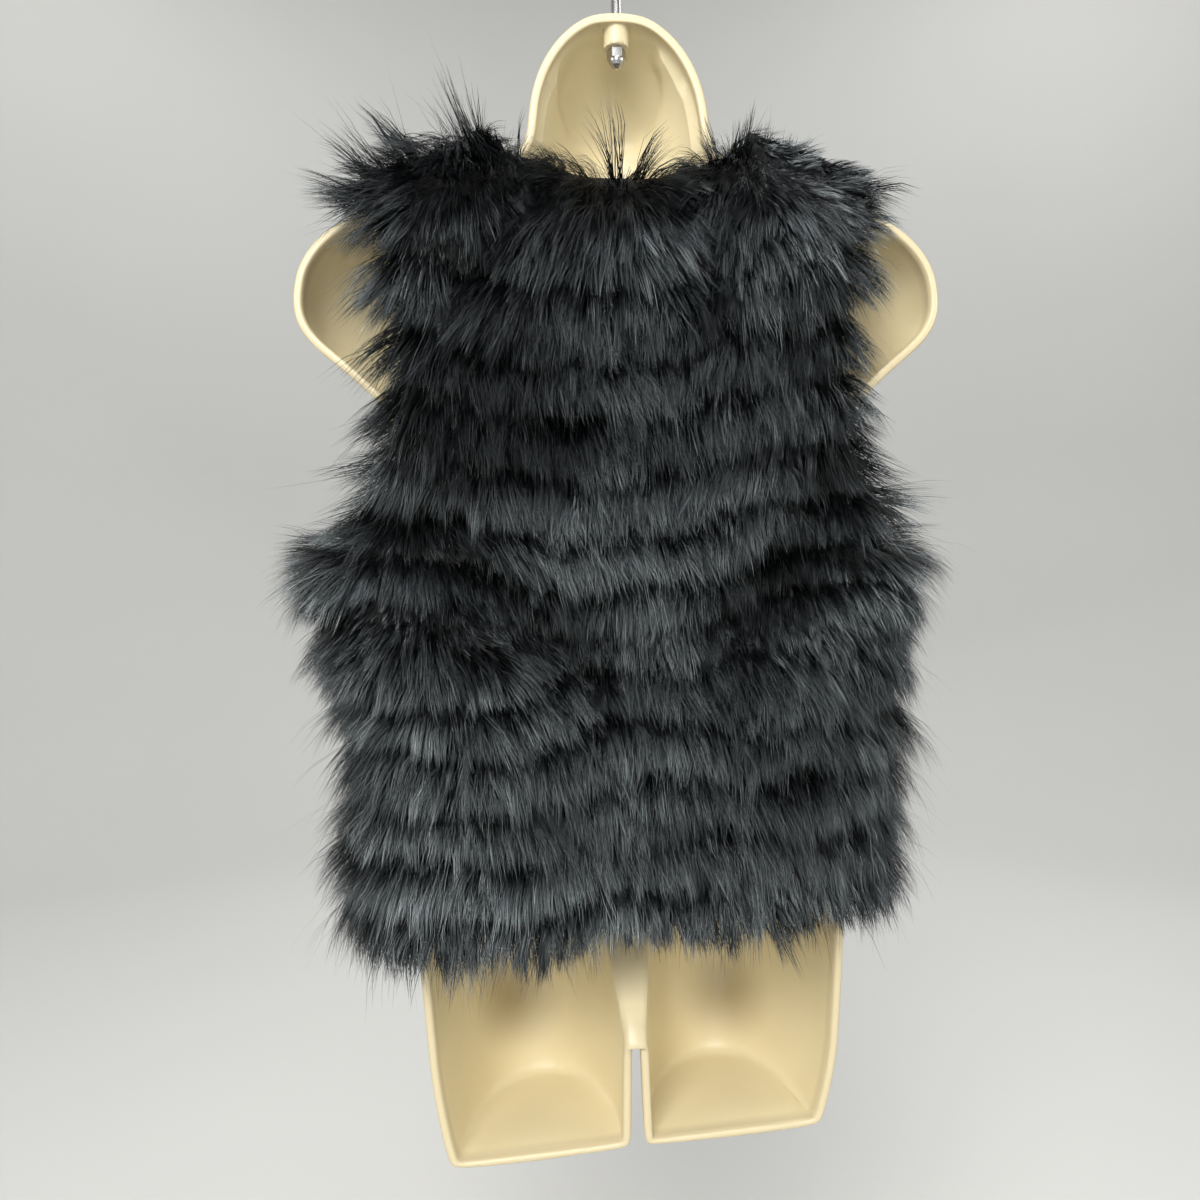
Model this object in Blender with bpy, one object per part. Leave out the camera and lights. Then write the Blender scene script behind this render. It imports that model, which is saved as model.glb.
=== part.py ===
"""A faux-fur vest on a hollow-backed hanging torso form.

Units are metres, +Z up. The garment's front faces -Y and the form's open back faces +Y, so the wearer's
left is at +X. The origin is the point inside the hook's crook where a rail carries the whole thing. Heights
on the form and on the garment are given as drops below the top of the form's neck.
"""

import math

import bpy
import numpy as np

# Hook and nut
WIRE_DIAMETER = 0.00635
CROOK_INNER_RADIUS = 0.017
CROOK_START_DEG = -60.0
CROOK_END_DEG = 200.0
NUT_FLATS = 0.0111
NUT_HEX_HEIGHT = 0.0072
NUT_DOME_HEIGHT = 0.0050
NUT_HOLE_DEPTH = 0.0085
NUT_CHAMFER = 0.0006
NUT_DOME_DEGREES = (15, 40, 65)
# Shares of half the nut's width across flats: its flat faces, the foot of its dome and the dome's flat tip
NUT_FACE_SHARE = 0.97
NUT_DOME_SHARE = 0.93
NUT_TIP_SHARE = 0.16
WIRE_IN_NUT = 0.0075
HOOK_BEVEL_RESOLUTION = 3
BEND_POINTS = 7
CROOK_POINTS = 27
FIT_GAP = 0.0003

# Torso form
NECK_TOP_Z = -0.095
RIM_Y = 0.0105
FORM_WALL = 0.003
FORM_RIM = 0.006
FORM_ROUNDNESS = 2.2
NECK_ROUND_DROP = 0.075
NECK_HALF_WIDTH = 0.0595
NECK_DEPTH = 0.086
NECK_DOME_DEGREES = (13, 27, 43, 60, 76)
BOSS_DIAMETER = 0.017
BOSS_TOP_DROP = 0.002
BOSS_BOTTOM_DROP = 0.0205
GROOVE_START_DROP = 0.575
CROTCH_DROP = 0.678
THIGH_END_DROP = 0.744
THIGH_END_SLANT = 0.070
SLOT_TOP_HALF_WIDTH = 0.0025
SLOT_END_HALF_WIDTH = 0.0042
CROTCH_PANEL_WIDENING = 0.024
THIGH_END_WIDTH_LOSS = 0.013
THIGH_WIDTH_LOSS_POWER = 1.5
THIGH_DEPTH_LOSS = 0.012
COLUMNS_PER_HALF = 12

# Sections of the form: drop, half width at the rim, depth from the rim to the front
FORM_SECTIONS = (
    (NECK_ROUND_DROP, NECK_HALF_WIDTH, NECK_DEPTH),
    (0.092, 0.0625, 0.088),
    (0.103, 0.0780, 0.091),
    (0.114, 0.1150, 0.096),
    (0.125, 0.1500, 0.101),
    (0.137, 0.1800, 0.106),
    (0.159, 0.2035, 0.113),
    (0.178, 0.2110, 0.117),
    (0.196, 0.2120, 0.120),
    (0.212, 0.2060, 0.124),
    (0.240, 0.1745, 0.132),
    (0.268, 0.1500, 0.142),
    (0.300, 0.1455, 0.150),
    (0.335, 0.1430, 0.155),
    (0.420, 0.1180, 0.128),
    (0.520, 0.1350, 0.132),
    (0.565, 0.1410, 0.136),
    (0.625, 0.1385, 0.132),
    (CROTCH_DROP, 0.1345, 0.124),
)
SHOULDER_ROWS = 17
TORSO_ROWS = 8
GROOVE_ROWS = 7
SHOULDER_END_DROP = 0.268
THIGH_ROWS = (0.04, 0.35, 0.65, 0.85)
# Rounded end of a thigh: share of its length, share of its section that is left
THIGH_END_ROUND = ((0.95, 0.985), (1.0, 0.93))

# Cloth
BACKING_AND_PILE = 0.018
PILE_AT_FREE_EDGE = 0.008
PILE_RISE_LENGTH = 0.028
LINING_THICKNESS = 0.0012
LAYER_GAP = 0.0005
SEAM_GAP = 0.0003
BACK_ROUNDNESS = 2.5
FRONT_ROUNDNESS = 2.2
SHOULDER_TIP_X = 0.158
NECK_POINT_X = 0.070
NECK_POINT_DROP = 0.0942
BACK_NECK_DROP = 0.117
BACK_NECK_POWER = 3
UNDERARM_DROP = 0.345
HEM_DROP = 0.580
SHOULDER_SEAM_LOWEST_DROP = 0.145
SHOULDER_SEAM_SAMPLES = 80
PANEL_ROWS = 18
# Rows over the shoulder: share of the climb to the seam, share of the turn to it
SHOULDER_STEPS = ((0.40, 0.20), (0.68, 0.45), (0.88, 0.72), (1.0, 1.0))
BACK_COLUMNS = 16
FRONT_COLUMNS = 8
HEM_SKEW = 0.045
# Folds fade out where the cloth turns this close to edge-on, as a cosine of its turn
FOLD_FADE_COSINE = 0.5
NORMAL_TURN_STEP = 0.02
NORMAL_DROP_STEP = 0.002
SEAM_TURN_TOLERANCE = 1e-6

# Garment sections: drop, half width, then behind the rim, its seam, centre back and centre front
GARMENT_SECTIONS = (
    (0.0880, 0.052, 0.0015, 0.010, -0.098),
    (NECK_POINT_DROP, NECK_POINT_X, 0.0015, 0.012, -0.102),
    (0.1110, 0.115, 0.0015, 0.016, -0.110),
    (0.1221, 0.150, 0.0015, 0.020, -0.120),
    (0.1252, SHOULDER_TIP_X, 0.0015, 0.021, -0.123),
    (SHOULDER_SEAM_LOWEST_DROP, 0.200, -0.003, 0.026, -0.130),
    (0.175, 0.222, -0.010, 0.030, -0.136),
    (0.205, 0.222, -0.018, 0.032, -0.139),
    (0.240, 0.202, -0.026, 0.034, -0.148),
    (0.290, 0.190, -0.036, 0.035, -0.164),
    (UNDERARM_DROP, 0.190, -0.045, 0.034, -0.173),
    (0.420, 0.182, -0.045, 0.030, -0.166),
    (0.490, 0.172, -0.045, 0.030, -0.160),
    (0.540, 0.1695, -0.045, 0.033, -0.160),
    (0.640, 0.1720, -0.045, 0.037, -0.162),
)
SEAM = None
# Edge of the back panel from hem to shoulder: drop at its edge, half width there, drop at the centre back
BACK_EDGE = (
    (0.578, SEAM, HEM_DROP),
    (0.460, SEAM, 0.462),
    (UNDERARM_DROP, SEAM, 0.357),
    (0.334, 0.174, 0.346),
    (0.312, 0.153, 0.327),
    (0.260, 0.139, 0.276),
    (0.200, 0.138, 0.218),
    (0.152, 0.147, 0.168),
)
# Edges of a front: drop and half width at the side and armhole, then the same at the centre and neckline
FRONT_EDGES = (
    (0.578, SEAM, 0.584, 0.004),
    (0.460, SEAM, 0.464, 0.004),
    (UNDERARM_DROP, SEAM, 0.362, 0.004),
    (0.334, 0.174, 0.350, 0.004),
    (0.312, 0.156, 0.326, 0.005),
    (0.260, 0.142, 0.268, 0.014),
    (0.200, 0.141, 0.198, 0.036),
    (0.152, 0.149, 0.138, 0.060),
)
# Largest folds: start x and drop, end x and drop, height (a trough is negative), half breadth
BACK_FOLDS = (
    (0.150, 0.318, 0.022, 0.428, -0.010, 0.020),
    (-0.140, 0.306, -0.055, 0.398, -0.010, 0.018),
    (0.185, 0.388, 0.085, 0.450, 0.007, 0.030),
    (-0.180, 0.360, -0.100, 0.420, 0.006, 0.028),
    (0.018, 0.124, 0.070, 0.184, -0.006, 0.014),
    (-0.022, 0.126, -0.044, 0.182, -0.006, 0.014),
)
FRONT_FOLDS = (
    (0.150, 0.322, 0.050, 0.440, -0.009, 0.020),
    (-0.145, 0.318, -0.060, 0.420, -0.009, 0.020),
    (0.120, 0.430, 0.090, 0.560, 0.006, 0.026),
    (-0.125, 0.420, -0.085, 0.560, 0.006, 0.026),
)

# Finishes: name, colour, roughness, metallic
CREAM_PLASTIC = ("cream_plastic", (0.78, 0.66, 0.42, 1.0), 0.40, 0.0)
BLACK_FUR = ("black_fur", (0.012, 0.013, 0.016, 1.0), 0.60, 0.0)
BLACK_LINING = ("black_lining", (0.010, 0.010, 0.012, 1.0), 0.35, 0.0)
HOOK_STEEL = ("hook_steel", (0.62, 0.62, 0.60, 1.0), 0.20, 1.0)
LATHE_SIDES = 24


def clear_scene():
    for thing in list(bpy.data.objects):
        bpy.data.objects.remove(thing, do_unlink=True)


def material(name, colour, roughness, metallic):
    made = bpy.data.materials.new(name)
    made.use_nodes = True
    shader = made.node_tree.nodes["Principled BSDF"]
    shader.inputs["Base Color"].default_value = colour
    shader.inputs["Roughness"].default_value = roughness
    shader.inputs["Metallic"].default_value = metallic
    return made


def mesh_object(name, points, faces, finish):
    mesh = bpy.data.meshes.new(name)
    mesh.from_pydata([tuple(map(float, p)) for p in points], [], faces)
    mesh.update()
    mesh.shade_smooth()
    made = bpy.data.objects.new(name, mesh)
    if finish:
        made.data.materials.append(finish)
    bpy.context.scene.collection.objects.link(made)
    return made


def smooth_table(rows, at):
    """A table's columns read between its rows, along monotone cubic curves over its first column."""
    table = np.array(rows, float)
    place, value = table[:, 0], table[:, 1:]
    slope = np.diff(value, axis=0) / np.diff(place)[:, None]
    same_way = slope[:-1] * slope[1:] > 0
    total = np.where(same_way, slope[:-1] + slope[1:], 1.0)
    mean = np.where(same_way, 2 * slope[:-1] * slope[1:] / total, 0.0)
    tangent = np.vstack([slope[:1], mean, slope[-1:]])
    at = np.clip(np.asarray(at, float), place[0], place[-1])
    row = np.clip(np.searchsorted(place, at, side="right") - 1, 0, len(place) - 2)
    step = (place[row + 1] - place[row])[..., None]
    u = ((at - place[row]) / (place[row + 1] - place[row]))[..., None]
    ends = (1 + 2 * u) * (1 - u) ** 2 * value[row] + u * u * (3 - 2 * u) * value[row + 1]
    bends = u * (1 - u) ** 2 * tangent[row] + u * u * (u - 1) * tangent[row + 1]
    return ends + bends * step


# Torso form


def half_section(half_width, depth, inner_x, groove):
    """One side of a form section, from the rim in to the middle, turning into a thigh as the groove grows."""
    turn = np.linspace(0, math.pi, COLUMNS_PER_HALF + 1)
    middle = (half_width + inner_x) / 2
    reach = (half_width - inner_x) / 2
    x = middle + reach * np.cos(turn)
    torso_y = round_depth(x / half_width, depth)
    thigh_y = round_depth((x - middle) / reach, depth)
    return x, RIM_Y - (1 - groove) * torso_y - groove * thigh_y


def round_depth(share, depth):
    """Depth of a rounded section at a share of its half width."""
    return depth * np.clip(1 - np.abs(share) ** FORM_ROUNDNESS, 0, 1) ** (1 / FORM_ROUNDNESS)


def crotch_panel(share):
    """Half width of the flat panel between the thighs, which narrows down to the slot, at a share of the groove."""
    return SLOT_TOP_HALF_WIDTH + (CROTCH_PANEL_WIDENING * (1 - share) if share > 0 else 0.0)


def torso_rows():
    """Rows of the form from the neck's top to the crotch, each a full line of points from rim to rim."""
    sections = []
    for degrees in NECK_DOME_DEGREES:
        turn = math.radians(degrees)
        drop = NECK_ROUND_DROP * (1 - math.cos(turn))
        sections.append((drop, NECK_HALF_WIDTH * math.sin(turn), NECK_DEPTH * math.sin(turn)))
    shoulder = np.linspace(NECK_ROUND_DROP, SHOULDER_END_DROP, SHOULDER_ROWS)
    torso = np.linspace(SHOULDER_END_DROP, GROOVE_START_DROP, TORSO_ROWS + 1)[1:]
    groove = np.linspace(GROOVE_START_DROP, CROTCH_DROP, GROOVE_ROWS + 1)[1:]
    for drop in np.concatenate([shoulder, torso, groove]):
        half_width, depth = smooth_table(FORM_SECTIONS, drop)
        sections.append((drop, half_width, depth))
    rows = []
    for drop, half_width, depth in sections:
        share = np.clip((drop - GROOVE_START_DROP) / (CROTCH_DROP - GROOVE_START_DROP), 0, 1)
        groove = share * share * (3 - 2 * share)
        x, y = half_section(half_width, depth, crotch_panel(share), groove)
        z = np.full(len(x), NECK_TOP_Z - drop)
        left = np.stack([x, y, z], axis=1)
        right = (left * (-1, 1, 1))[::-1]
        rows.append(np.vstack([left, right]))
    return rows


def thigh_rows(side):
    """Rows of one thigh below the crotch, from its outer rim to its inner rim, ending in a slanted plane."""
    top_width, top_depth = smooth_table(FORM_SECTIONS, CROTCH_DROP)
    steps = [(share, 1.0) for share in THIGH_ROWS] + list(THIGH_END_ROUND)
    rows = []
    for share, size in steps:
        half_width = top_width - THIGH_END_WIDTH_LOSS * share**THIGH_WIDTH_LOSS_POWER
        depth = top_depth - THIGH_DEPTH_LOSS * share
        inner_x = SLOT_TOP_HALF_WIDTH + (SLOT_END_HALF_WIDTH - SLOT_TOP_HALF_WIDTH) * share
        x, y = half_section(half_width, depth, inner_x, 1.0)
        middle = (half_width + inner_x) / 2
        x = side * (middle + (x - middle) * size)
        y = RIM_Y + (y - RIM_Y) * size
        length = THIGH_END_DROP - CROTCH_DROP + THIGH_END_SLANT * x
        rows.append(np.stack([x, y, NECK_TOP_Z - CROTCH_DROP - share * length], axis=1))
    return rows


def grid_faces(first, second, flip=False):
    """Quads between two lines of point numbers."""
    faces = [(a, b, d, c) for a, b, c, d in zip(first, first[1:], second, second[1:])]
    return [tuple(reversed(face)) for face in faces] if flip else faces


def form_surface():
    """Outer surface of the form, open along its rim: points, faces and the numbers of the rim's points."""
    points, faces, rim = [], [], set()

    def add_row(row):
        start = len(points)
        points.extend(row)
        rim.update((start, start + len(row) - 1))
        return list(range(start, start + len(row)))

    lines = [add_row(row) for row in torso_rows()]
    faces.append(tuple(reversed(lines[0])))
    for above, below in zip(lines, lines[1:]):
        faces += grid_faces(above, below)
    crotch = lines[-1]
    for side, above in ((1, crotch[: COLUMNS_PER_HALF + 1]), (-1, crotch[:COLUMNS_PER_HALF:-1])):
        for row in thigh_rows(side):
            below = add_row(row)
            faces += grid_faces(above, below, flip=side < 0)
            above = below
        faces.append(tuple(above) if side > 0 else tuple(reversed(above)))
    rim.update(crotch[COLUMNS_PER_HALF : COLUMNS_PER_HALF + 2])
    rim.update(lines[0])
    return points, faces, rim


def cutter(made):
    made.hide_render = True
    made.display_type = "WIRE"
    return made


def upright_cylinder(name, diameter, bottom, top, finish=None):
    turns = np.arange(LATHE_SIDES) * 2 * math.pi / LATHE_SIDES
    circle = np.stack([np.cos(turns), np.sin(turns)], axis=1) * diameter / 2
    points = [(x, y, bottom) for x, y in circle] + [(x, y, top) for x, y in circle]
    low = list(range(LATHE_SIDES))
    high = [number + LATHE_SIDES for number in low]
    faces = [tuple(reversed(low)), tuple(high)]
    faces += [(a, b, d, c) for a, b, c, d in zip(low, low[1:] + low[:1], high, high[1:] + high[:1])]
    return mesh_object(name, points, faces, finish)


def boolean(made, name, operation, tool):
    change = made.modifiers.new(name, "BOOLEAN")
    change.operation = operation
    change.solver = "EXACT"
    change.object = tool


def build_form(finish):
    points, faces, rim = form_surface()
    form = mesh_object("form_shell", points, faces, finish)
    group = form.vertex_groups.new(name="wall")
    for number in range(len(points)):
        group.add([number], 1.0 if number in rim else FORM_WALL / FORM_RIM, "REPLACE")
    wall = form.modifiers.new("wall", "SOLIDIFY")
    wall.thickness = FORM_RIM
    wall.offset = -1.0
    wall.use_even_offset = False
    wall.use_rim = True
    wall.vertex_group = group.name
    boss = upright_cylinder(
        "hook_boss", BOSS_DIAMETER, NECK_TOP_Z - BOSS_BOTTOM_DROP, NECK_TOP_Z - BOSS_TOP_DROP
    )
    bore = upright_cylinder(
        "hook_bore",
        WIRE_DIAMETER + 2 * FIT_GAP,
        NECK_TOP_Z - 2 * BOSS_BOTTOM_DROP,
        NECK_TOP_Z + BOSS_BOTTOM_DROP,
    )
    boolean(form, "boss", "UNION", cutter(boss))
    boolean(form, "bore", "DIFFERENCE", cutter(bore))
    return form


# Hook and its nut


def nut_top_z():
    return NECK_TOP_Z - BOSS_BOTTOM_DROP - FIT_GAP


def arc(centre_x, centre_z, radius, start_deg, end_deg, count):
    turns = np.radians(np.linspace(start_deg, end_deg, count))
    return [(centre_x + radius * math.cos(t), 0.0, centre_z + radius * math.sin(t)) for t in turns]


def build_hook(finish):
    """Straight shank, a bend out to one side, then the crook over the rail."""
    wire_radius = WIRE_DIAMETER / 2
    crook_radius = CROOK_INNER_RADIUS + wire_radius
    crook_z = -CROOK_INNER_RADIUS
    start = math.radians(CROOK_START_DEG)
    bend_x = crook_radius * math.cos(start)
    bend_radius = bend_x / (1 - math.cos(start))
    bend_z = crook_z + crook_radius * math.sin(start) - bend_radius * math.sin(-start)
    shank = [(0.0, 0.0, nut_top_z() - WIRE_IN_NUT), (0.0, 0.0, (nut_top_z() + bend_z) / 2)]
    bend = arc(bend_radius, bend_z, bend_radius, 180.0, 180.0 + CROOK_START_DEG, BEND_POINTS)
    crook = arc(0.0, crook_z, crook_radius, CROOK_START_DEG, CROOK_END_DEG, CROOK_POINTS)
    route = shank + bend + crook[1:]
    curve = bpy.data.curves.new("hook", "CURVE")
    curve.dimensions = "3D"
    curve.bevel_depth = wire_radius
    curve.bevel_resolution = HOOK_BEVEL_RESOLUTION
    curve.use_fill_caps = True
    spline = curve.splines.new("POLY")
    spline.points.add(len(route) - 1)
    for point, place in zip(spline.points, route):
        point.co = (*place, 1.0)
    curve.materials.append(finish)
    hook = bpy.data.objects.new("hook", curve)
    bpy.context.scene.collection.objects.link(hook)
    return hook


def ring_loft(name, rings, finish):
    """Closed solid through rings of equal count, with a flat cap at each end of the line of rings."""
    count = len(rings[0])
    points = [point for ring in rings for point in ring]
    faces = []
    for start in range(0, len(points) - count, count):
        for k in range(count):
            after = (k + 1) % count
            faces.append((start + k, start + after, start + count + after, start + count + k))
    faces.append(tuple(range(count - 1, -1, -1)))
    faces.append(tuple(range(len(points) - count, len(points))))
    return mesh_object(name, points, faces, finish)


def build_nut(finish):
    """Hexagon with a dome below it and a blind hole from above for the wire's end."""
    top = nut_top_z()
    bottom = top - NUT_HEX_HEIGHT
    turns = np.arange(LATHE_SIDES) * 2 * math.pi / LATHE_SIDES
    sixth = math.pi / 3
    hexagon = NUT_FLATS / 2 / np.cos((turns % sixth) - sixth / 2)

    def ring(radius, z):
        x = radius * np.cos(turns)
        y = radius * np.sin(turns)
        return np.stack([x, y, np.full(LATHE_SIDES, z)], axis=1)

    hole = WIRE_DIAMETER / 2 + FIT_GAP
    flat_radius = NUT_FLATS / 2
    face_radius = flat_radius * NUT_FACE_SHARE
    dome_radius = flat_radius * NUT_DOME_SHARE
    rings = [ring(hole, top - NUT_HOLE_DEPTH), ring(hole, top), ring(face_radius, top)]
    rings += [ring(hexagon, top - NUT_CHAMFER), ring(hexagon, bottom + NUT_CHAMFER)]
    rings.append(ring(face_radius, bottom))
    for degrees in NUT_DOME_DEGREES:
        turn = math.radians(degrees)
        rings.append(ring(dome_radius * math.cos(turn), bottom - NUT_DOME_HEIGHT * math.sin(turn)))
    rings.append(ring(flat_radius * NUT_TIP_SHARE, bottom - NUT_DOME_HEIGHT))
    return ring_loft("hook_nut", rings[::-1], finish)


# Garment


def section_at(drop):
    """Half width and the places of the seam, the centre back and the centre front, at each drop."""
    return np.moveaxis(smooth_table(GARMENT_SECTIONS, drop), -1, 0)


def ring_point(drop, turn, side):
    """Point on the garment's section: turn is 0 at centre back, a quarter turn at the seam, pi in front."""
    half_width, seam, back, front = section_at(drop)
    behind = np.cos(turn) >= 0
    power = 2 / np.where(behind, BACK_ROUNDNESS, FRONT_ROUNDNESS)
    reach = np.where(behind, back - seam, seam - front)
    x = half_width * np.sign(np.sin(turn)) * np.abs(np.sin(turn)) ** power
    y = seam + np.sign(np.cos(turn)) * reach * np.abs(np.cos(turn)) ** power
    return np.stack([side * x, RIM_Y + y, NECK_TOP_Z - drop], axis=-1)


def turn_at(drop, x, front):
    """Turn round the section where it is x from the middle, on its back or front half."""
    half_width = section_at(drop)[0]
    power = (FRONT_ROUNDNESS if front else BACK_ROUNDNESS) / 2
    turn = np.arcsin(np.clip(np.abs(x) / half_width, 0, 1) ** power)
    return math.pi - turn if front else turn


def ring_normal(drop, turn, side):
    """Outward direction of the garment's plain section surface."""
    behind = ring_point(drop, turn - NORMAL_TURN_STEP, side)
    across = ring_point(drop, turn + NORMAL_TURN_STEP, side) - behind
    above = ring_point(drop - NORMAL_DROP_STEP, turn, side)
    down = ring_point(drop + NORMAL_DROP_STEP, turn, side) - above
    normal = np.cross(across, down) * np.asarray(side)[..., None]
    return normal / np.linalg.norm(normal, axis=-1, keepdims=True)


def fold_height(points, folds):
    """Height of the folds, each a soft ridge or trough along a line that fades at both ends."""
    x, drop = points[..., 0], NECK_TOP_Z - points[..., 2]
    height = np.zeros(x.shape)
    for start_x, start_drop, end_x, end_drop, rise, breadth in folds:
        run_x, run_drop = end_x - start_x, end_drop - start_drop
        length = math.hypot(run_x, run_drop)
        along = ((x - start_x) * run_x + (drop - start_drop) * run_drop) / length
        off = ((x - start_x) * run_drop - (drop - start_drop) * run_x) / length
        beyond = np.maximum(np.maximum(-along, along - length), 0)
        height += rise * np.exp(-(off**2 + beyond**2) / (2 * breadth**2))
    return height


def shoulder_drop(x):
    """Drop of the shoulder seam at a distance from the middle."""
    drops = np.linspace(NECK_POINT_DROP, SHOULDER_SEAM_LOWEST_DROP, SHOULDER_SEAM_SAMPLES)
    return np.interp(np.abs(x), section_at(drops)[0], drops)


def edge_rows(table, front):
    """Rows of a panel from hem to just below the shoulder: drop and turn at its edge, and the rest."""
    rows = []
    for drop, half_width, *rest in table:
        turn = math.pi / 2 if half_width is SEAM else float(turn_at(drop, half_width, front))
        if front:
            inner_drop, inner_x = rest
            rest = [inner_drop, float(turn_at(inner_drop, inner_x, True))]
        rows.append((table[0][0] - drop, drop, turn, *rest))
    reach = rows[-1][0]
    return smooth_table(rows, np.linspace(0, reach, PANEL_ROWS))


def skewed(drop, x):
    """Drop with the hem hanging lower at the wearer's left, fading out towards the underarm."""
    share = np.clip((drop - UNDERARM_DROP) / (HEM_DROP - UNDERARM_DROP), 0, 1)
    return drop + HEM_SKEW * share * x


def up_to_shoulder(drop, turn, top_drop, top_turn):
    """Adds the rows that round the shoulder, from the armhole's top row to the seam and neckline."""
    for climb, lean in SHOULDER_STEPS:
        step_drop = drop[PANEL_ROWS - 1] + climb * (top_drop - drop[PANEL_ROWS - 1])
        step_turn = turn[PANEL_ROWS - 1] + lean * (top_turn - turn[PANEL_ROWS - 1])
        drop = np.vstack([drop, step_drop])
        turn = np.vstack([turn, step_turn])
    return drop, turn


def back_grid():
    """Points and outward directions of the back panel, hem first, from the wearer's right to the left."""
    across = np.linspace(-1, 1, BACK_COLUMNS + 1)
    rows = edge_rows(BACK_EDGE, front=False)
    edge_drop, edge_turn, centre_drop = (column[:, None] for column in rows.T)
    drop = centre_drop + (edge_drop - centre_drop) * across**2
    turn = edge_turn * np.abs(across)
    top_x = np.abs(across) * SHOULDER_TIP_X
    neck = np.clip(top_x / NECK_POINT_X, 0, 1)
    neckline = BACK_NECK_DROP + (NECK_POINT_DROP - BACK_NECK_DROP) * neck**BACK_NECK_POWER
    top_drop = np.where(top_x < NECK_POINT_X, neckline, shoulder_drop(top_x))
    top_turn = np.where(top_x < NECK_POINT_X, turn_at(top_drop, top_x, front=False), math.pi / 2)
    drop, turn = up_to_shoulder(drop, turn, top_drop, top_turn)
    side = np.broadcast_to(np.where(across < 0, -1.0, 1.0), drop.shape)
    return finished_grid(drop, turn, side, BACK_FOLDS, behind=True)


def front_grid(side_sign):
    """Points and outward directions of one front, hem first, from its side to its centre edge."""
    across = np.linspace(0, 1, FRONT_COLUMNS + 1)
    rows = edge_rows(FRONT_EDGES, front=True)
    outer_drop, outer_turn, inner_drop, inner_turn = (column[:, None] for column in rows.T)
    drop = outer_drop + (inner_drop - outer_drop) * across
    turn = outer_turn + (inner_turn - outer_turn) * across
    top_x = SHOULDER_TIP_X + (NECK_POINT_X - SHOULDER_TIP_X) * across
    top_drop = shoulder_drop(top_x)
    top_turn = np.full(across.shape, math.pi / 2)
    drop, turn = up_to_shoulder(drop, turn, top_drop, top_turn)
    side = np.full(drop.shape, float(side_sign))
    return finished_grid(drop, turn, side, FRONT_FOLDS, behind=False)


def finished_grid(drop, turn, side, folds, behind):
    """Moves a panel's plain points by its folds and skew, and opens half of the seam gap along its seams."""
    plain = ring_point(drop, turn, side)
    drop = skewed(drop, plain[..., 0])
    plain = ring_point(drop, turn, side)
    normal = ring_normal(drop, turn, side)
    facing = np.clip(np.abs(np.cos(turn)) / FOLD_FADE_COSINE, 0, 1)
    points = plain + normal * (fold_height(plain, folds) * facing**2)[..., None]
    at_seam = np.abs(turn - math.pi / 2) < SEAM_TURN_TOLERANCE
    points[..., 1] += np.where(at_seam, SEAM_GAP / 2 if behind else -SEAM_GAP / 2, 0)
    return points, normal, at_seam


def pile_height(points, at_seam):
    """Thickness of the fur cloth: full over the panel, and less at its free edges."""
    edge = np.zeros(at_seam.shape, bool)
    edge[0], edge[-1], edge[:, 0], edge[:, -1] = True, True, True, True
    free = points[edge & ~at_seam]
    away = np.linalg.norm(points[:, :, None] - free[None, None], axis=-1).min(axis=-1)
    share = np.clip(away / PILE_RISE_LENGTH, 0, 1)
    share = share * (2 - share)
    return PILE_AT_FREE_EDGE + (BACKING_AND_PILE - PILE_AT_FREE_EDGE) * share


def cloth_wall(name, inner, outer, finish, outward):
    """Closed wall between two grids of points, with every square cut the same way in both."""
    rows, columns = inner.shape[:2]
    number = np.arange(rows * columns).reshape(rows, columns)
    a, b = number[:-1, :-1].ravel(), number[:-1, 1:].ravel()
    c, d = number[1:, :-1].ravel(), number[1:, 1:].ravel()
    sheet = np.concatenate([np.stack([a, b, d], 1), np.stack([a, d, c], 1)])
    total = rows * columns
    loop = np.concatenate([number[0], number[1:, -1], number[-1, -2::-1], number[-2:0:-1, 0]])
    after = np.roll(loop, -1)
    far, far_after = loop + total, after + total
    rim = np.concatenate([np.stack([loop, after, far_after], 1), np.stack([loop, far_after, far], 1)])
    faces = np.concatenate([sheet + total, sheet[:, ::-1], rim])
    if not outward:
        faces = faces[:, ::-1]
    points = np.concatenate([inner.reshape(-1, 3), outer.reshape(-1, 3)])
    return mesh_object(name, points, faces.tolist(), finish)


def build_panel(place, grid, outward, fur_finish, lining_finish):
    """One panel of fur cloth, and its lining from the same points, moved in and a row short at the hem."""
    points, normal, at_seam = grid
    height = pile_height(points, at_seam)[..., None]
    cloth_wall("fur_" + place, points, points + normal * height, fur_finish, outward)
    short, inward = points[1:], normal[1:]
    near = short - inward * LAYER_GAP
    far = short - inward * (LAYER_GAP + LINING_THICKNESS)
    cloth_wall("lining_" + place, far, near, lining_finish, outward)


def build_garment(fur_finish, lining_finish):
    build_panel("back", back_grid(), False, fur_finish, lining_finish)
    build_panel("front_left", front_grid(1), False, fur_finish, lining_finish)
    build_panel("front_right", front_grid(-1), True, fur_finish, lining_finish)


def main():
    clear_scene()
    build_form(material(*CREAM_PLASTIC))
    metal = material(*HOOK_STEEL)
    build_hook(metal)
    build_nut(metal)
    build_garment(material(*BLACK_FUR), material(*BLACK_LINING))


main()
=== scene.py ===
"""Looks of a black faux-fur vest on a hollow-backed hanging torso form.

Units are metres in the part's own frame: +Z up, the vest's back towards +Y, the wearer's left towards +X.
Heights on the garment are given as drops below the top of the form's neck. Pairs of values for a rise are
its start and span.
"""

import math

import bmesh
import bpy
import numpy as np
from mathutils import Matrix, Vector
from mathutils.bvhtree import BVHTree
from mathutils.kdtree import KDTree


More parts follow.
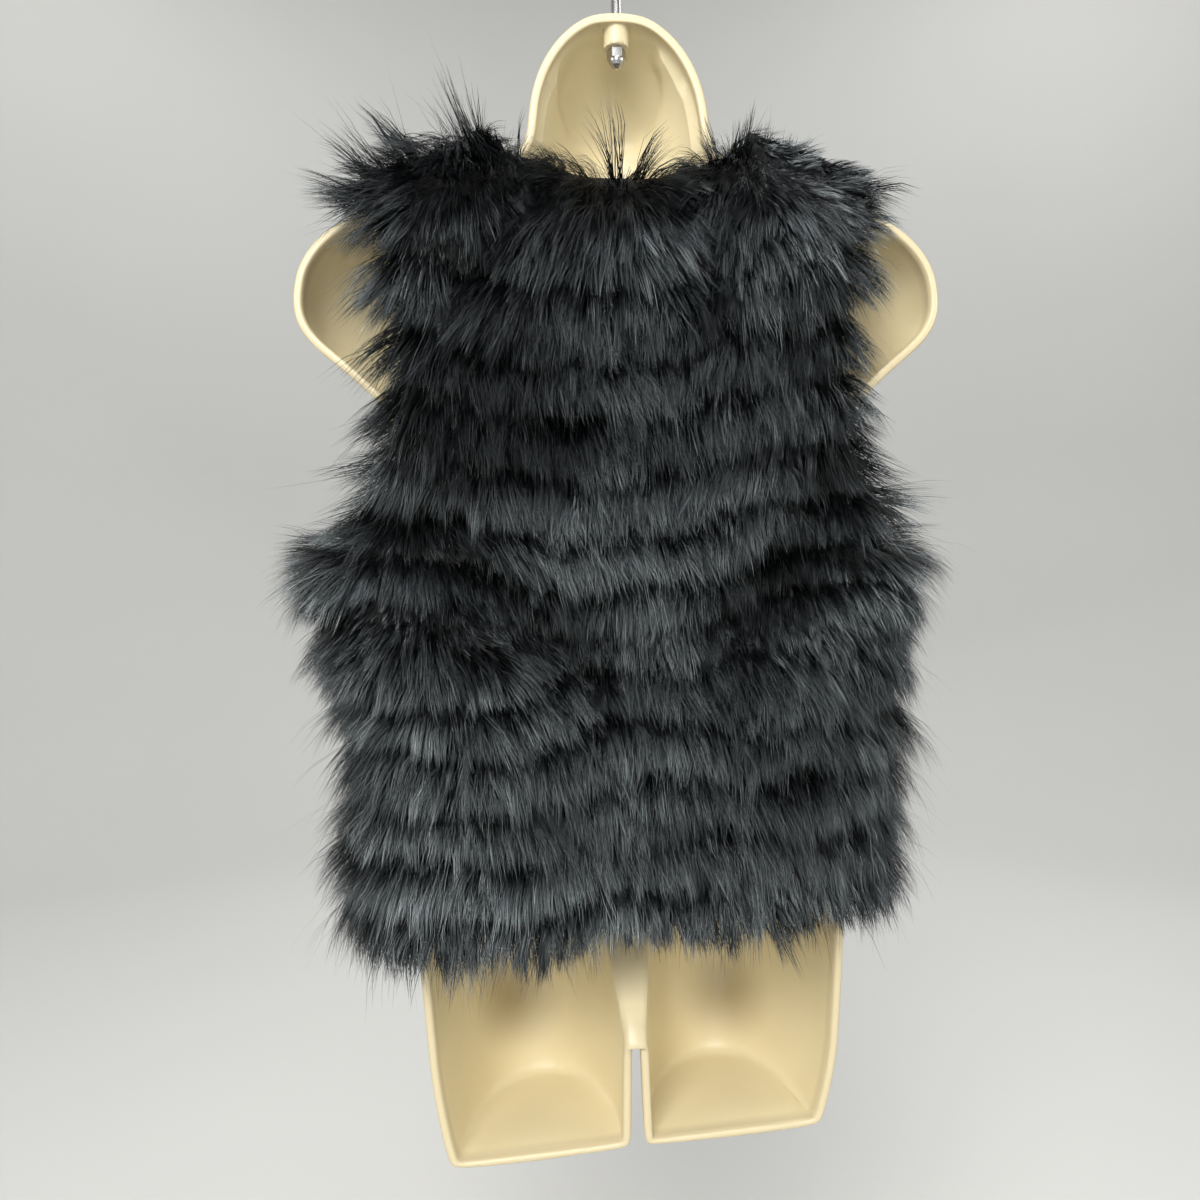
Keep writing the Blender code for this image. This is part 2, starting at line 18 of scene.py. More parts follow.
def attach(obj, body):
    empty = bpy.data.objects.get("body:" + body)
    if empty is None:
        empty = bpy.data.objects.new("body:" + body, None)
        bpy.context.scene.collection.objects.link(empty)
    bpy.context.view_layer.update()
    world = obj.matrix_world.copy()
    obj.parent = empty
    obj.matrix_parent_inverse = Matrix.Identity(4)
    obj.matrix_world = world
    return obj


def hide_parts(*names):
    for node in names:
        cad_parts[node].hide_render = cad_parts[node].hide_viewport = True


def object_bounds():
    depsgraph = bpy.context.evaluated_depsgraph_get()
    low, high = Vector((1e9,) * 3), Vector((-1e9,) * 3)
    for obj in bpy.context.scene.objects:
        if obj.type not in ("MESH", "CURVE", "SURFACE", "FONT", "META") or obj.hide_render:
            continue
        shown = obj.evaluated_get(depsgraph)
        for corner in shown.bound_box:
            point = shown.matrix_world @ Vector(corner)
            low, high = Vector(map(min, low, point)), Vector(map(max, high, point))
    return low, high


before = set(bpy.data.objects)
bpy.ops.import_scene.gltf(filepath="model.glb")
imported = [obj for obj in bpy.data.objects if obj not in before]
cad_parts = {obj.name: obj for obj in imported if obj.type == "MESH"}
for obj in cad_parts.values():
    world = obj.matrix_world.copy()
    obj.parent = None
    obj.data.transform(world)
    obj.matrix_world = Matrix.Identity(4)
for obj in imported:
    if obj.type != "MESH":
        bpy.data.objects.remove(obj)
cad_low, cad_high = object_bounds()

BODY = "root"
PANELS = ("back", "front_left", "front_right")
SEED = 417
TINY = 1e-9

# Places in the part's frame
NECK_TOP_Z = -0.095
RIM_Y = 0.0105
CORE_Y = -0.05
CORE_TOP_Z = -0.3
CORE_BOTTOM_Z = -0.6

# Meshes read from the frame
WELD_DISTANCE = 1e-6
RAY_START = 1e-5
QUAD_FACE_DEG = 40.0
QUAD_SHAPE_DEG = 60.0
FORM_SUBDIVISIONS = 2
CLOTH_SUBDIVISIONS = 1
LIP_DEG = 50.0
LIP_CREASE = 0.45
INWARD_LEAST = -0.1
OPPOSITE_LEAST = -0.5

# Cloth
BACKING_THICKNESS = 0.0012
LINING_THICKNESS = 0.0008
CLEARANCE = 0.0006
LAYER_GAP = 0.0004
KEPT_OFF_REACH = 0.03
# Layers: start of a piece's name and of its node's, most thickness of the solid, gap to the form
LINING = ("lining_cloth_", "lining_", 0.004, CLEARANCE)
BACKING = ("fur_backing_", "fur_", 0.025, CLEARANCE + LINING_THICKNESS + LAYER_GAP)
# Backing below the hem's last roots, behind the fringe
TURNING_LENGTH = 0.006
TURNING_DROP = (0.545, 0.04)

# Swells: place across, drop, radius, height
SWELLS = (
    (0.195, 0.405, 0.09, 0.01),
    (0.19, 0.35, 0.06, 0.013),
    (0.01, 0.16, 0.052, 0.009),
    (0.112, 0.15, 0.045, 0.007),
    (-0.1, 0.15, 0.045, 0.007),
    (0.188, 0.55, 0.075, 0.015),
    (-0.19, 0.49, 0.05, 0.006),
    (-0.195, 0.42, 0.08, 0.005),
    (-0.19, 0.352, 0.05, 0.008),
    (-0.19, 0.54, 0.06, 0.006),
)
# Creases: place across and drop at each end, height, half breadth
BACK_CREASES = (
    (0.138, 0.324, 0.028, 0.425, -0.01, 0.018),
    (-0.132, 0.314, -0.058, 0.397, -0.01, 0.02),
    (0.17, 0.465, 0.095, 0.5, 0.003, 0.018),
    (-0.15, 0.47, -0.07, 0.505, 0.003, 0.02),
    (0.062, 0.132, 0.1, 0.188, -0.01, 0.011),
    (-0.044, 0.128, -0.054, 0.178, -0.01, 0.01),
)
FRONT_CREASES = (
    (0.15, 0.33, 0.06, 0.43, -0.004, 0.016),
    (-0.15, 0.325, -0.07, 0.41, -0.004, 0.015),
    (0.115, 0.44, 0.085, 0.56, 0.003, 0.02),
    (-0.11, 0.43, -0.09, 0.56, 0.003, 0.018),
)
CREASE_ENDS = 0.03
# Side seams, where both panels swell alike
SIDE_ACROSS = (0.14, 0.025)
SIDE_DROP = (0.318, 0.025)


def smooth_step(share):
    share = np.clip(share, 0.0, 1.0)
    return share * share * (3 - 2 * share)


def rise(value, start, span):
    """Nothing at a start and smoothly one a span further, which may be negative."""
    return smooth_step((value - start) / span)


def unit(vectors):
    return vectors / np.maximum(np.linalg.norm(vectors, axis=-1, keepdims=True), TINY)


def drop_of(points):
    return NECK_TOP_Z - points[..., 2]


def link(thing):
    bpy.context.scene.collection.objects.link(thing)
    return thing


def new_object(name, mesh, finish):
    thing = link(bpy.data.objects.new(name, mesh))
    mesh.materials.clear()
    mesh.materials.append(finish)
    return thing


def keep(thing, slot, *nodes):
    """Puts a piece on the part's one body, in place of its nodes. Its slot is not used."""
    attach(thing, BODY)
    if nodes:
        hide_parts(*nodes)
    return thing


# Materials


class Finish:
    """A new procedural material, its shader and the nodes that feed it."""

    def __init__(self, name, roughness, metallic=0.0):
        self.material = bpy.data.materials.new(name)
        self.material.use_nodes = True
        self.tree = self.material.node_tree
        self.shader = self.tree.nodes["Principled BSDF"]
        self.feed("Roughness", roughness)
        self.feed("Metallic", metallic)

    def put(self, socket, value):
        """Sets a socket to a value, or links another node's output to it."""
        if isinstance(value, bpy.types.NodeSocket):
            self.tree.links.new(value, socket)
        else:
            socket.default_value = value

    def feed(self, name, value):
        self.put(self.shader.inputs[name], value)

    def add(self, kind, inputs, output, **settings):
        """One output of a new node with these settings and inputs."""
        node = self.tree.nodes.new("ShaderNode" + kind)
        for key, setting in settings.items():
            setattr(node, key, setting)
        for key, value in inputs.items():
            self.put(node.inputs[key], value)
        return node.outputs[output]

    def place(self):
        return self.add("TexCoord", {}, "Object")

    def part(self, vector, axis):
        return self.add("SeparateXYZ", {"Vector": vector}, axis)

    def ramp(self, value, stops):
        """A colour ramp over a value, with stops of place and colour."""
        colour = self.add("ValToRGB", {"Fac": value}, "Color")
        elements = colour.node.color_ramp.elements
        while len(elements) < len(stops):
            elements.new(0.5)
        for element, (place, tone) in zip(elements, stops):
            element.position = place
            element.color = (*tone, 1.0)
        return colour

    def ranged(self, value, source=(0.0, 1.0), target=(0.0, 1.0), **settings):
        """A value taken from one range to another and held within it."""
        limits = dict(zip(("From Min", "From Max", "To Min", "To Max"), (*source, *target)))
        return self.add("MapRange", {"Value": value, **limits}, "Result", **settings)

    def blend(self, share, first, second):
        return self.add("Mix", {"Factor": share, "A": first, "B": second}, "Result", data_type="RGBA")

    def times(self, first, second):
        return self.add("Math", {0: first, 1: second}, "Value", operation="MULTIPLY")

    def noise(self, scale, detail=2.0, stretch=(1, 1, 1)):
        mapped = self.add("Mapping", {"Vector": self.place(), "Scale": stretch}, "Vector")
        return self.add("TexNoise", {"Vector": mapped, "Scale": scale, "Detail": detail}, "Fac")

    def bump(self, height, distance, strength):
        inputs = {"Height": height, "Distance": distance, "Strength": strength}
        self.feed("Normal", self.add("Bump", inputs, "Normal"))


# Colour and gloss along a strand, from root to tip, both lower towards the root as painted shade among the
# roots
FUR_ROOT_SHADED_STOPS = (
    (0, (0.0004, 0.0005, 0.0006)),
    (0.35, (0.0012, 0.0014, 0.0016)),
    (0.7, (0.0052, 0.006, 0.0066)),
    (1, (0.0095, 0.0109, 0.0117)),
)
FUR_GLOSS = ((0.0, 0.04), (0.35, 0.14), (0.68, 0.66), (1.0, 0.8))
# Gloss of the whole strand where a viewer takes only one value
FUR_GLOSS_PLAIN = 0.4
FUR_TINT = (0.88, 0.98, 1.0, 1.0)
# Darkest and palest strand, as factors
FUR_TONES = (0.26, 2.45)


def fur_material():
    """Painted shade darkens the root, greyer towards the tip, with each strand's tone, which carries
    painted shade and highlight.
    """
    fur = Finish("black_fur_strands", roughness=0.27)
    strand = fur.add("UVMap", {}, "UV", uv_map="strand")
    along = fur.part(strand, "Y")
    # The tone from the strand map carries painted shade and painted highlight besides each strand's random
    # tone
    tone = fur.ranged(fur.part(strand, "X"), target=FUR_TONES)
    inputs = {0: fur.ramp(along, FUR_ROOT_SHADED_STOPS), "Scale": tone}
    fur.feed("Base Color", fur.add("VectorMath", inputs, "Vector", operation="SCALE"))
    fur.feed("Specular IOR Level", FUR_GLOSS_PLAIN)
    gloss = fur.ramp(along, [(place, (value,) * 3) for place, value in FUR_GLOSS])
    fur.feed("Specular IOR Level", fur.times(gloss, tone))
    fur.feed("Specular Tint", FUR_TINT)
    return fur.material


KNIT_STOPS = ((0.3, (0.003, 0.003, 0.0035)), (0.7, (0.01, 0.01, 0.011)))


def backing_material():
    knit = Finish("black_knit_backing", roughness=0.9)
    stitches = knit.noise(scale=900.0, stretch=(1, 1, 0.5))
    knit.feed("Base Color", knit.ramp(stitches, KNIT_STOPS))
    knit.bump(stitches, distance=0.0004, strength=0.6)
    return knit.material


SATIN_STOPS = ((0.3, (0.0045, 0.0045, 0.0055)), (0.7, (0.0085, 0.0085, 0.01)))
SATIN_SHEEN = 0.15


def lining_material():
    satin = Finish("black_satin_lining", roughness=0.34)
    satin.feed("Base Color", satin.ramp(satin.noise(scale=9.0), SATIN_STOPS))
    satin.feed("Sheen Weight", SATIN_SHEEN)
    warp = satin.noise(scale=1400.0, detail=1.0, stretch=(1, 1, 0.08))
    satin.bump(warp, distance=0.0002, strength=0.35)
    return satin.material


PLASTIC_STOPS = ((0.3, (0.765, 0.665, 0.425)), (0.7, (0.8, 0.705, 0.465)))
PLASTIC_ROUGHNESS = (0.3, 0.46)
PLASTIC_DEPTH_SHARE = 0.06
PLASTIC_DEPTHS = (0.004, 0.003, 0.0015)
# Painted shade darkening the lip round the hollow: where it starts and is full
LIP_SHADE_RANGE_Y = (-0.004, 0.006)
LIP_PAINTED_SHADE_COLOUR = (0.585, 0.5, 0.315, 1.0)
# Painted shade deep inside the thighs, on the inner faces
INSIDE_RANGE = (-0.05, 0.15)
THIGH_PAINTED_SHADE_SPOTS = ((0.0856, -0.1034, -0.785), (-0.0804, -0.1043, -0.787))
THIGH_SHADE_RANGE = (0.0, 0.046)
THIGH_SHADE_SHARES = (0.85, 0.0)
THIGH_PAINTED_SHADE_COLOUR = (0.36, 0.28, 0.15, 1.0)


def plastic_material():
    """Cream moulded plastic: faintly mottled, satin, with a fine moulded grain, painted shade on the lip
    and painted shade deep inside the thighs.
    """
    plastic = Finish("cream_moulded_plastic", roughness=0.36)
    where = plastic.place()
    colour = plastic.ramp(plastic.noise(scale=7.0, detail=4.0), PLASTIC_STOPS)
    # Painted shade on the lip
    lip = plastic.ranged(plastic.part(where, "Y"), LIP_SHADE_RANGE_Y)
    colour = plastic.blend(lip, colour, LIP_PAINTED_SHADE_COLOUR)
    inside = plastic.ranged(plastic.part(plastic.add("TexCoord", {}, "Normal"), "Y"), INSIDE_RANGE)
    # Painted shade deep in each thigh's hollow
    for spot in THIGH_PAINTED_SHADE_SPOTS:
        far = plastic.add("VectorMath", {0: where, 1: spot}, "Value", operation="DISTANCE")
        near = plastic.ranged(far, THIGH_SHADE_RANGE, THIGH_SHADE_SHARES, interpolation_type="SMOOTHSTEP")
        colour = plastic.blend(plastic.times(near, inside), colour, THIGH_PAINTED_SHADE_COLOUR)
    plastic.feed("Base Color", colour)
    scuff = plastic.noise(scale=60.0, detail=5.0)
    plastic.feed("Roughness", plastic.ranged(scuff, target=PLASTIC_ROUGHNESS))
    plastic.feed("Subsurface Weight", PLASTIC_DEPTH_SHARE)
    plastic.feed("Subsurface Radius", PLASTIC_DEPTHS)
    plastic.bump(plastic.noise(scale=420.0), distance=0.0002, strength=0.12)
    return plastic.material


STEEL_STOPS = ((0.35, (0.46, 0.46, 0.45)), (0.75, (0.66, 0.66, 0.65)))
STEEL_ROUGHNESS = (0.16, 0.34)


def metal_material():
    steel = Finish("plated_steel", roughness=0.2, metallic=1.0)
    wear = steel.noise(scale=240.0, detail=4.0, stretch=(1, 1, 0.2))
    steel.feed("Base Color", steel.ramp(wear, STEEL_STOPS))
    steel.feed("Roughness", steel.ranged(wear, target=STEEL_ROUGHNESS))
    return steel.material


PAINT_STOPS = ((0.3, (0.56, 0.56, 0.545)), (0.7, (0.59, 0.59, 0.575)))
# Greyer wall on the photo's side: where it starts and is full
GREY_RANGE_Y = (0.0, 1.6)
GREY_RANGE_Z = (-1.0, -0.4)
GREY_COLOUR = (0.28, 0.28, 0.285, 1.0)


def stage_material():
    """Pale studio paint, with a greyer wall on one side."""
    paint = Finish("pale_studio", roughness=0.9)
    pale = paint.ramp(paint.noise(scale=0.7), PAINT_STOPS)
    where = paint.place()
    aside = paint.ranged(paint.part(where, "Y"), GREY_RANGE_Y)
    above = paint.ranged(paint.part(where, "Z"), GREY_RANGE_Z)
    paint.feed("Base Color", paint.blend(paint.times(aside, above), pale, GREY_COLOUR))
    return paint.material


# Meshes from the frame


def welded(node):
    shape = bmesh.new()
    shape.from_mesh(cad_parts[node].data)
    bmesh.ops.remove_doubles(shape, verts=shape.verts, dist=WELD_DISTANCE)
    return shape


def squared(shape):
    """Joins pairs of triangles into the quads that they were cut from."""
    bmesh.ops.join_triangles(
        shape,
        faces=shape.faces,
        angle_face_threshold=math.radians(QUAD_FACE_DEG),
        angle_shape_threshold=math.radians(QUAD_SHAPE_DEG),
    )


def smoothed(name, shape, levels, finish):
    """The shape as an object with a subdivided, smooth surface."""
    mesh = bpy.data.meshes.new(name + "_cage")
    shape.to_mesh(mesh)
    shape.free()
    cage = link(bpy.data.objects.new(name + "_cage", mesh))
    change = cage.modifiers.new("smooth", "SUBSURF")
    change.levels = levels
    change.render_levels = levels
    change.boundary_smooth = "PRESERVE_CORNERS"
    graph = bpy.context.evaluated_depsgraph_get()
    fine = bpy.data.meshes.new_from_object(cage.evaluated_get(graph))
    bpy.data.objects.remove(cage)
    fine.name = name
    fine.shade_smooth()
    return new_object(name, fine, finish)


def facing_form(shape, most):
    """Faces of a thin wall that look towards the form's core line."""
    tree = BVHTree.FromBMesh(shape)
    found = []
    for face in shape.faces:
        centre = face.calc_center_median()
        core = Vector((0.0, CORE_Y, min(max(centre.z, CORE_BOTTOM_Z), CORE_TOP_Z)))
        if face.normal.dot((centre - core).normalized()) >= INWARD_LEAST:
            continue
        _, behind, _, through = tree.ray_cast(centre - face.normal * RAY_START, -face.normal)
        if through is not None and through < most and behind.dot(face.normal) < OPPOSITE_LEAST:
            found.append(face)
    return found


def inner_sheet(node, most):
    """The inner face of a cloth wall as an open sheet of quads, facing out."""
    shape = welded(node)
    inner = set(facing_form(shape, most))
    others = [face for face in shape.faces if face not in inner]
    bmesh.ops.delete(shape, geom=others, context="FACES")
    bmesh.ops.reverse_faces(shape, faces=shape.faces)
    squared(shape)
    return shape


def threes(items, field, kind):
    """The same three numbers of each item, as rows."""
    found = np.zeros(len(items) * 3, kind)
    items.foreach_get(field, found)
    return found.reshape(-1, 3)


def points_of(mesh):
    return threes(mesh.vertices, "co", np.float32).astype(float)


def normals_of(mesh):
    return threes(mesh.vertex_normals, "vector", np.float32).astype(float)


def triangles_of(mesh):
    mesh.calc_loop_triangles()
    return threes(mesh.loop_triangles, "vertices", np.int32)


def set_points(mesh, points):
    mesh.vertices.foreach_set("co", points.astype(np.float32).ravel())
    mesh.update()


# Form and hook

# Round recess in the neck's hollow: middle and half sizes, across and up, then the step round it
RECESS_CENTRE = np.array([0.003, -0.128])
RECESS_HALF = np.array([0.0385, 0.0255])
RECESS_STEP = 0.005
RECESS_EDGE = 0.16
RECESS_TOP = (0.012, 0.01)
RECESS_FOOT = (0.11, -0.03)
RECESS_RIM = (RIM_Y - 0.004, -0.012)
HOOK_SHARP_DEG = 40.0


def recess_neck(mesh):
    """Raises the inside of the neck round a shallow recess."""
    points, normals = points_of(mesh), normals_of(mesh)
    drop = drop_of(points)
    far = np.linalg.norm((points[:, [0, 2]] - RECESS_CENTRE) / RECESS_HALF, axis=1)
    share = rise(far, 1 - RECESS_EDGE / 2, RECESS_EDGE) * (normals[:, 1] > 0)
    share = share * rise(drop, *RECESS_FOOT) * rise(drop, *RECESS_TOP)
    share = share * rise(points[:, 1], *RECESS_RIM)
    set_points(mesh, points + normals * (RECESS_STEP * share)[:, None])


def build_form(finish):
    shape = welded("form_shell")
    squared(shape)
    crease = shape.edges.layers.float.new("crease_edge")
    for edge in shape.edges:
        if len(edge.link_faces) == 2 and edge.calc_face_angle() > math.radians(LIP_DEG):
            edge[crease] = LIP_CREASE
    form = smoothed("form_shell_smooth", shape, FORM_SUBDIVISIONS, finish)
    recess_neck(form.data)
    return keep(form, "cream_plastic", "form_shell")


def dress_hook(finish):
    for node in ("hook", "hook_nut"):
        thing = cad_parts[node]
        thing.data.materials.clear()
        thing.data.materials.append(finish)
        thing.data.shade_smooth()
        thing.data.set_sharp_from_angle(angle=math.radians(HOOK_SHARP_DEG))


# Cloth shells


def kept_off(points, tree, gap):
    """Points moved out to be no nearer than the gap to a surface."""
    moved = points.copy()
    for number, point in enumerate(points):
        near, normal, _, _ = tree.find_nearest(Vector(point), KEPT_OFF_REACH)
        if near is None:
            continue
        off = (Vector(point) - near).dot(normal)
        if off < gap:
            moved[number] += np.array(normal) * (gap - off)
    return moved


def line_share(place, start_x, start_drop, end_x, end_drop, breadth):
    """One along a line over the cloth, falling to nothing a breadth aside and towards its ends."""
    start, end = np.array([start_x, start_drop]), np.array([end_x, end_drop])
    flat = np.stack([place[:, 0], drop_of(place)], axis=1) - start
    length = np.linalg.norm(end - start)
    along = flat @ (end - start) / length
    aside = flat @ np.array([start_drop - end_drop, end_x - start_x]) / length
    ends = rise(along, -CREASE_ENDS, CREASE_ENDS) * rise(along, length + CREASE_ENDS, -CREASE_ENDS)
    return ends * np.exp(-(aside / breadth) ** 2)


def swelled(points, panel):
    """How far out each point of a panel moves for the swells and creases."""
    out = np.zeros(len(points))
    for *spot, height in SWELLS:
        out += height * near_spot(points, *spot)
    for *line, height, breadth in BACK_CREASES if panel == "back" else FRONT_CREASES:
        out += height * line_share(points, *line, breadth)
    return out


def swell_direction(points, normals):
    """The sheet's normal, but the level way out at the side seams, where both panels move alike."""
    level = points - np.array([0.0, CORE_Y, 0.0])
    level[:, 2] = 0.0
    share = rise(np.abs(points[:, 0]), *SIDE_ACROSS) * rise(drop_of(points), *SIDE_DROP)
    share = share[:, None]
    return unit(normals * (1 - share) + unit(level) * share)


def draped(name, node, most, gap, panel, form_tree, finish):
    """One layer of a panel: the inner face of its solid, swelled and kept off the form."""
    thing = smoothed(name + panel, inner_sheet(node + panel, most), CLOTH_SUBDIVISIONS, finish)
    points = points_of(thing.data)
    out = swell_direction(points, normals_of(thing.data))
    set_points(thing.data, points + out * swelled(points, panel)[:, None])
    set_points(thing.data, kept_off(points_of(thing.data), form_tree, gap))
    return thing


def thickened(thing, thickness):
    """Gives an open sheet its thickness, outwards."""
    change = thing.modifiers.new("thickness", "SOLIDIFY")
    change.thickness = thickness
    change.offset = 1.0
    graph = bpy.context.evaluated_depsgraph_get()
    solid = bpy.data.meshes.new_from_object(thing.evaluated_get(graph))
    thing.modifiers.clear()
    old = thing.data
    thing.data = solid
    bpy.data.meshes.remove(old)
    return thing


def tree_of(thing):
    faces = [tuple(face.vertices) for face in thing.data.polygons]
    return BVHTree.FromPolygons([Vector(point) for point in points_of(thing.data)], faces)


def lengthened(thing, form_tree):
    """Draws a backing down at the hem, to lie dark behind the fringe."""
    points = points_of(thing.data)
    points[:, 2] -= TURNING_LENGTH * rise(drop_of(points), *TURNING_DROP)
    set_points(thing.data, kept_off(points, form_tree, CLEARANCE))


# Fur pile

BACK_PIECES = 3
BACK_STRANDS = 39000
FRONT_STRANDS = 29500
FURROW_KEEP = 0.6
SPRINKLED_MORE = 2.8
EDGE_DENSER = 2.4
EDGE_DENSE_REACH = 0.018
HEM_FULL = (0.55, 0.015)

# Tiers of long pile: drops of the furrows between them down the centre back
FURROW_DROPS = (
    0.11, 0.15, 0.198, 0.238, 0.276, 0.312, 0.345, 0.379, 0.404,
    0.43, 0.464, 0.499, 0.531, 0.563, 0.595, 0.627, 0.659,
)
FURROW_PHASE = 0.42
# Upper furrows rise to both sides, and lower ones sink to the wearer's left
RISE_CENTRE_X = 0.018
RISE_ACROSS = (0.04, 0.07)
RISE_LEFT = 0.017
RISE_RIGHT = 0.02
SINK_REACH = 0.09
SINK_LEFT = 0.0175
SINK_DROP = (0.372, 0.055)
# Uneven values, here and below: rows of size and wavelength
TIER_WAVES = ((0.003, 0.15), (0.003, 0.05))
TIER_TOP = (0.108, 0.05)
TIER_FIRM = 0.84
TIER_UNEVEN = ((0.45, 0.08),)
# Firmer or softer tiers: place across, drop, radius, change
TIER_CHANGES = (
    (0.14, 0.43, 0.1, 0.2),
    (0.14, 0.56, 0.08, 0.15),
    (-0.045, 0.44, 0.1, -0.6),
    (0.02, 0.52, 0.085, -0.45),
    (0.07, 0.42, 0.05, -0.35),
    (0.085, 0.27, 0.06, -0.45),
    (-0.09, 0.26, 0.06, -0.4),
)
LONG_START = (0.02, 0.16)
LONG_END = (0.84, -0.16)
TIP_PHASE = 1.42
REACH_SHARE = 0.8
LONG_MOST = 0.048
LONG_LEAST = 0.022
SHORT_LENGTH = 0.014
PLAIN_LENGTH = 0.04
UPPER_FADE = (0.27, -0.08)
UPPER_FLATTER = 16.0

# Lie of the pile, in degrees, and where it turns over the shoulder
LIE_DRIFTS = ((8.0, 0.11), (6.0, 0.03))
OVER_FADE = (0.19, -0.1)
ROOT_LIFT = 56.0
TIP_LIFT = 11.0
FURROW_LOWER = 14.0
SAG = 0.18
SAG_UPPER = 0.55
STEPS = np.array([0.0, 0.32, 0.66, 1.0])

# Locks, wisps and strands: spacing, and spread of length, lie and lift
LOCK_SPACING = 0.0075
WISP_SPACING = 0.0026
LOCK_SPREAD = (0.11, 9.0, 6.0)
WISP_SPREAD = (0.1, 8.0, 6.0)
STRAND_SPREAD = (0.12, 6.0, 5.0)
LOCK_PULL = 0.3
WISP_WAVE = 0.0007
WISP_PULL = 0.61
PULL_POWER = 1.4
STRAY_SHARE = 0.04
STRAY_LONGER = 1.22
STRAY_LIFT = 14.0
STRAY_THINNER = 0.75
# Least tone of a stray strand: a painted highlight on the stray hairs
STRAY_PAINTED_HIGHLIGHT = 0.7

# Strands
WIDTH_BACK = 0.0004
WIDTH_FRONT = 0.00068
WIDTH_SPREAD = 0.3
TAPER = np.array([1.0, 0.9, 0.55, 0.0])
TWIST_DEG = 16.0
WISP_TWIST_DEG = 34.0
ROUNDNESS = 0.7
TONE_WIDTH = 0.004
TONE_DRIFTS = ((0.15, 0.06),)
# Shares of a strand's tone from its lock, its wisp and itself
TONE_SHARES = (0.25, 0.36, 0.39)
TONE_LIMITS = (0.02, 0.98)
# Past the solids' box: share of a side and length that the pile may reach, spread of ends, least room
LIMIT_SHARE = 0.03
LIMIT_PROUD = 0.009
LIMIT_SPREAD = 0.07
LIMIT_LEAST = 0.001

# How the pile turns from straight down: place across, drop, radius, degrees towards the wearer's right
BACK_FLOW = (
    (0.172, 0.42, 0.04, -34),
    (0.072, 0.41, 0.056, 27),
    (0.085, 0.48, 0.045, 16),
    (0.165, 0.48, 0.036, -22),
    (0, 0.38, 0.09, 9),
    (-0.11, 0.42, 0.06, 6),
    (-0.165, 0.4, 0.04, 14),
    (0.1, 0.24, 0.05, -10),
    (-0.118, 0.112, 0.032, 48),
    (0.14, 0.12, 0.028, -30),
)
# Fans, where the pile spreads from a point: place across, drop, reach, strength
BACK_FANS = ((0.135, 0.325, 0.068, 0.7),)
# Lobes at the top of the back, with pile that spreads from a point: place across, drop. Creases that
# part them: place across at the creases' drop, step across for each step down
BACK_LOBES = ((0.112, 0.08), (0.004, 0.09), (-0.094, 0.08))
LOBE_CREASES = ((0.062, 0.68), (-0.044, -0.2))
LOBE_CREASE_DROP = 0.132
LOBE_STRENGTH = 0.75
LOBE_FADE = (0.25, -0.09)
# Least distances below a fan's or lobe's point for its angles
LEAST_BELOW = 0.01
LOBE_LEAST_BELOW = 0.02
# Tufts: place across, drop, radius, degrees from straight up to the wearer's right, length, share of wisps
BACK_TUFTS = (
    (0.092, 0.1, 0.014, -32, 0.044, 0.4),
    (0.135, 0.104, 0.012, -28, 0.038, 0.4),
    (0.158, 0.11, 0.014, -42, 0.038, 0.4),
    (0.158, 0.14, 0.022, -94, 0.046, 0.5),
    (0.158, 0.196, 0.02, -97, 0.04, 0.45),
    (0.064, 0.098, 0.008, 4, 0.04, 0.6),
    (0.004, 0.117, 0.008, 3, 0.044, 0.8),
    (-0.01, 0.117, 0.006, 6, 0.034, 0.7),
    (-0.058, 0.1, 0.014, -20, 0.03, 0.5),
    (-0.075, 0.096, 0.012, 20, 0.028, 0.5),
    (-0.11, 0.1, 0.016, 80, 0.024, 0.3),
    (-0.14, 0.114, 0.016, 92, 0.024, 0.3),
    (-0.155, 0.15, 0.016, 104, 0.034, 0.4),
    (-0.152, 0.21, 0.012, 94, 0.032, 0.35),
    (0.142, 0.27, 0.016, -114, 0.036, 0.55),
    (0.146, 0.292, 0.017, -108, 0.044, 0.65),
    (0.156, 0.312, 0.018, -102, 0.048, 0.7),
    (0.172, 0.33, 0.019, -98, 0.044, 0.7),
    (0.188, 0.344, 0.017, -94, 0.046, 0.7),
    (-0.142, 0.268, 0.016, 116, 0.034, 0.5),
    (-0.146, 0.29, 0.016, 110, 0.036, 0.5),
    (-0.158, 0.314, 0.017, 102, 0.042, 0.6),
    (-0.176, 0.334, 0.018, 94, 0.036, 0.55),
)
# Shorter or longer pile: place across, drop, radius, change as a share
LENGTH_CHANGES = (
    (-0.15, 0.112, 0.055, -0.65),
    (-0.105, 0.092, 0.05, -0.78),
    (0.15, 0.104, 0.04, -0.35),
    (-0.12, 0.595, 0.04, -0.25),
    (-0.152, 0.215, 0.06, -0.3),
    (0.15, 0.285, 0.045, 0.3),
    (0.185, 0.35, 0.035, 0.25),
)
FRONT_TUFTS = (
    (0.1, 0.105, 0.02, -20, 0.038, 0.4),
    (0.15, 0.112, 0.016, -45, 0.036, 0.4),
    (-0.1, 0.105, 0.02, 20, 0.038, 0.4),
    (-0.15, 0.112, 0.016, 50, 0.036, 0.4),
)
FRONT_FLOW = (
    (0.035, 0.3, 0.05, 14),
    (-0.035, 0.3, 0.05, -14),
    (0.15, 0.42, 0.045, -20),
    (-0.15, 0.42, 0.045, 20),
)

TUFT_PLATEAU = 1.4
TUFT_OFF = 0.15
TUFT_ROOT_OFF = 0.5
SPOT_PLATEAU = 1.5

# Free edges: reach, turn off the sheet, added lift, added length
EDGES = {
    "hem": (0.03, 0.25, -8.0, -0.004),
    "armhole": (0.026, 0.5, 4.0, 0.003),
    "neck": (0.022, 0.52, 26.0, -0.01),
    "front": (0.02, 0.45, 0.0, 0.0),
}
HEM_FROM_DROP = 0.5
ARMHOLE_FROM_X = 0.1
NECK_TO_DROP = 0.18
SEAM_GAP = 0.004

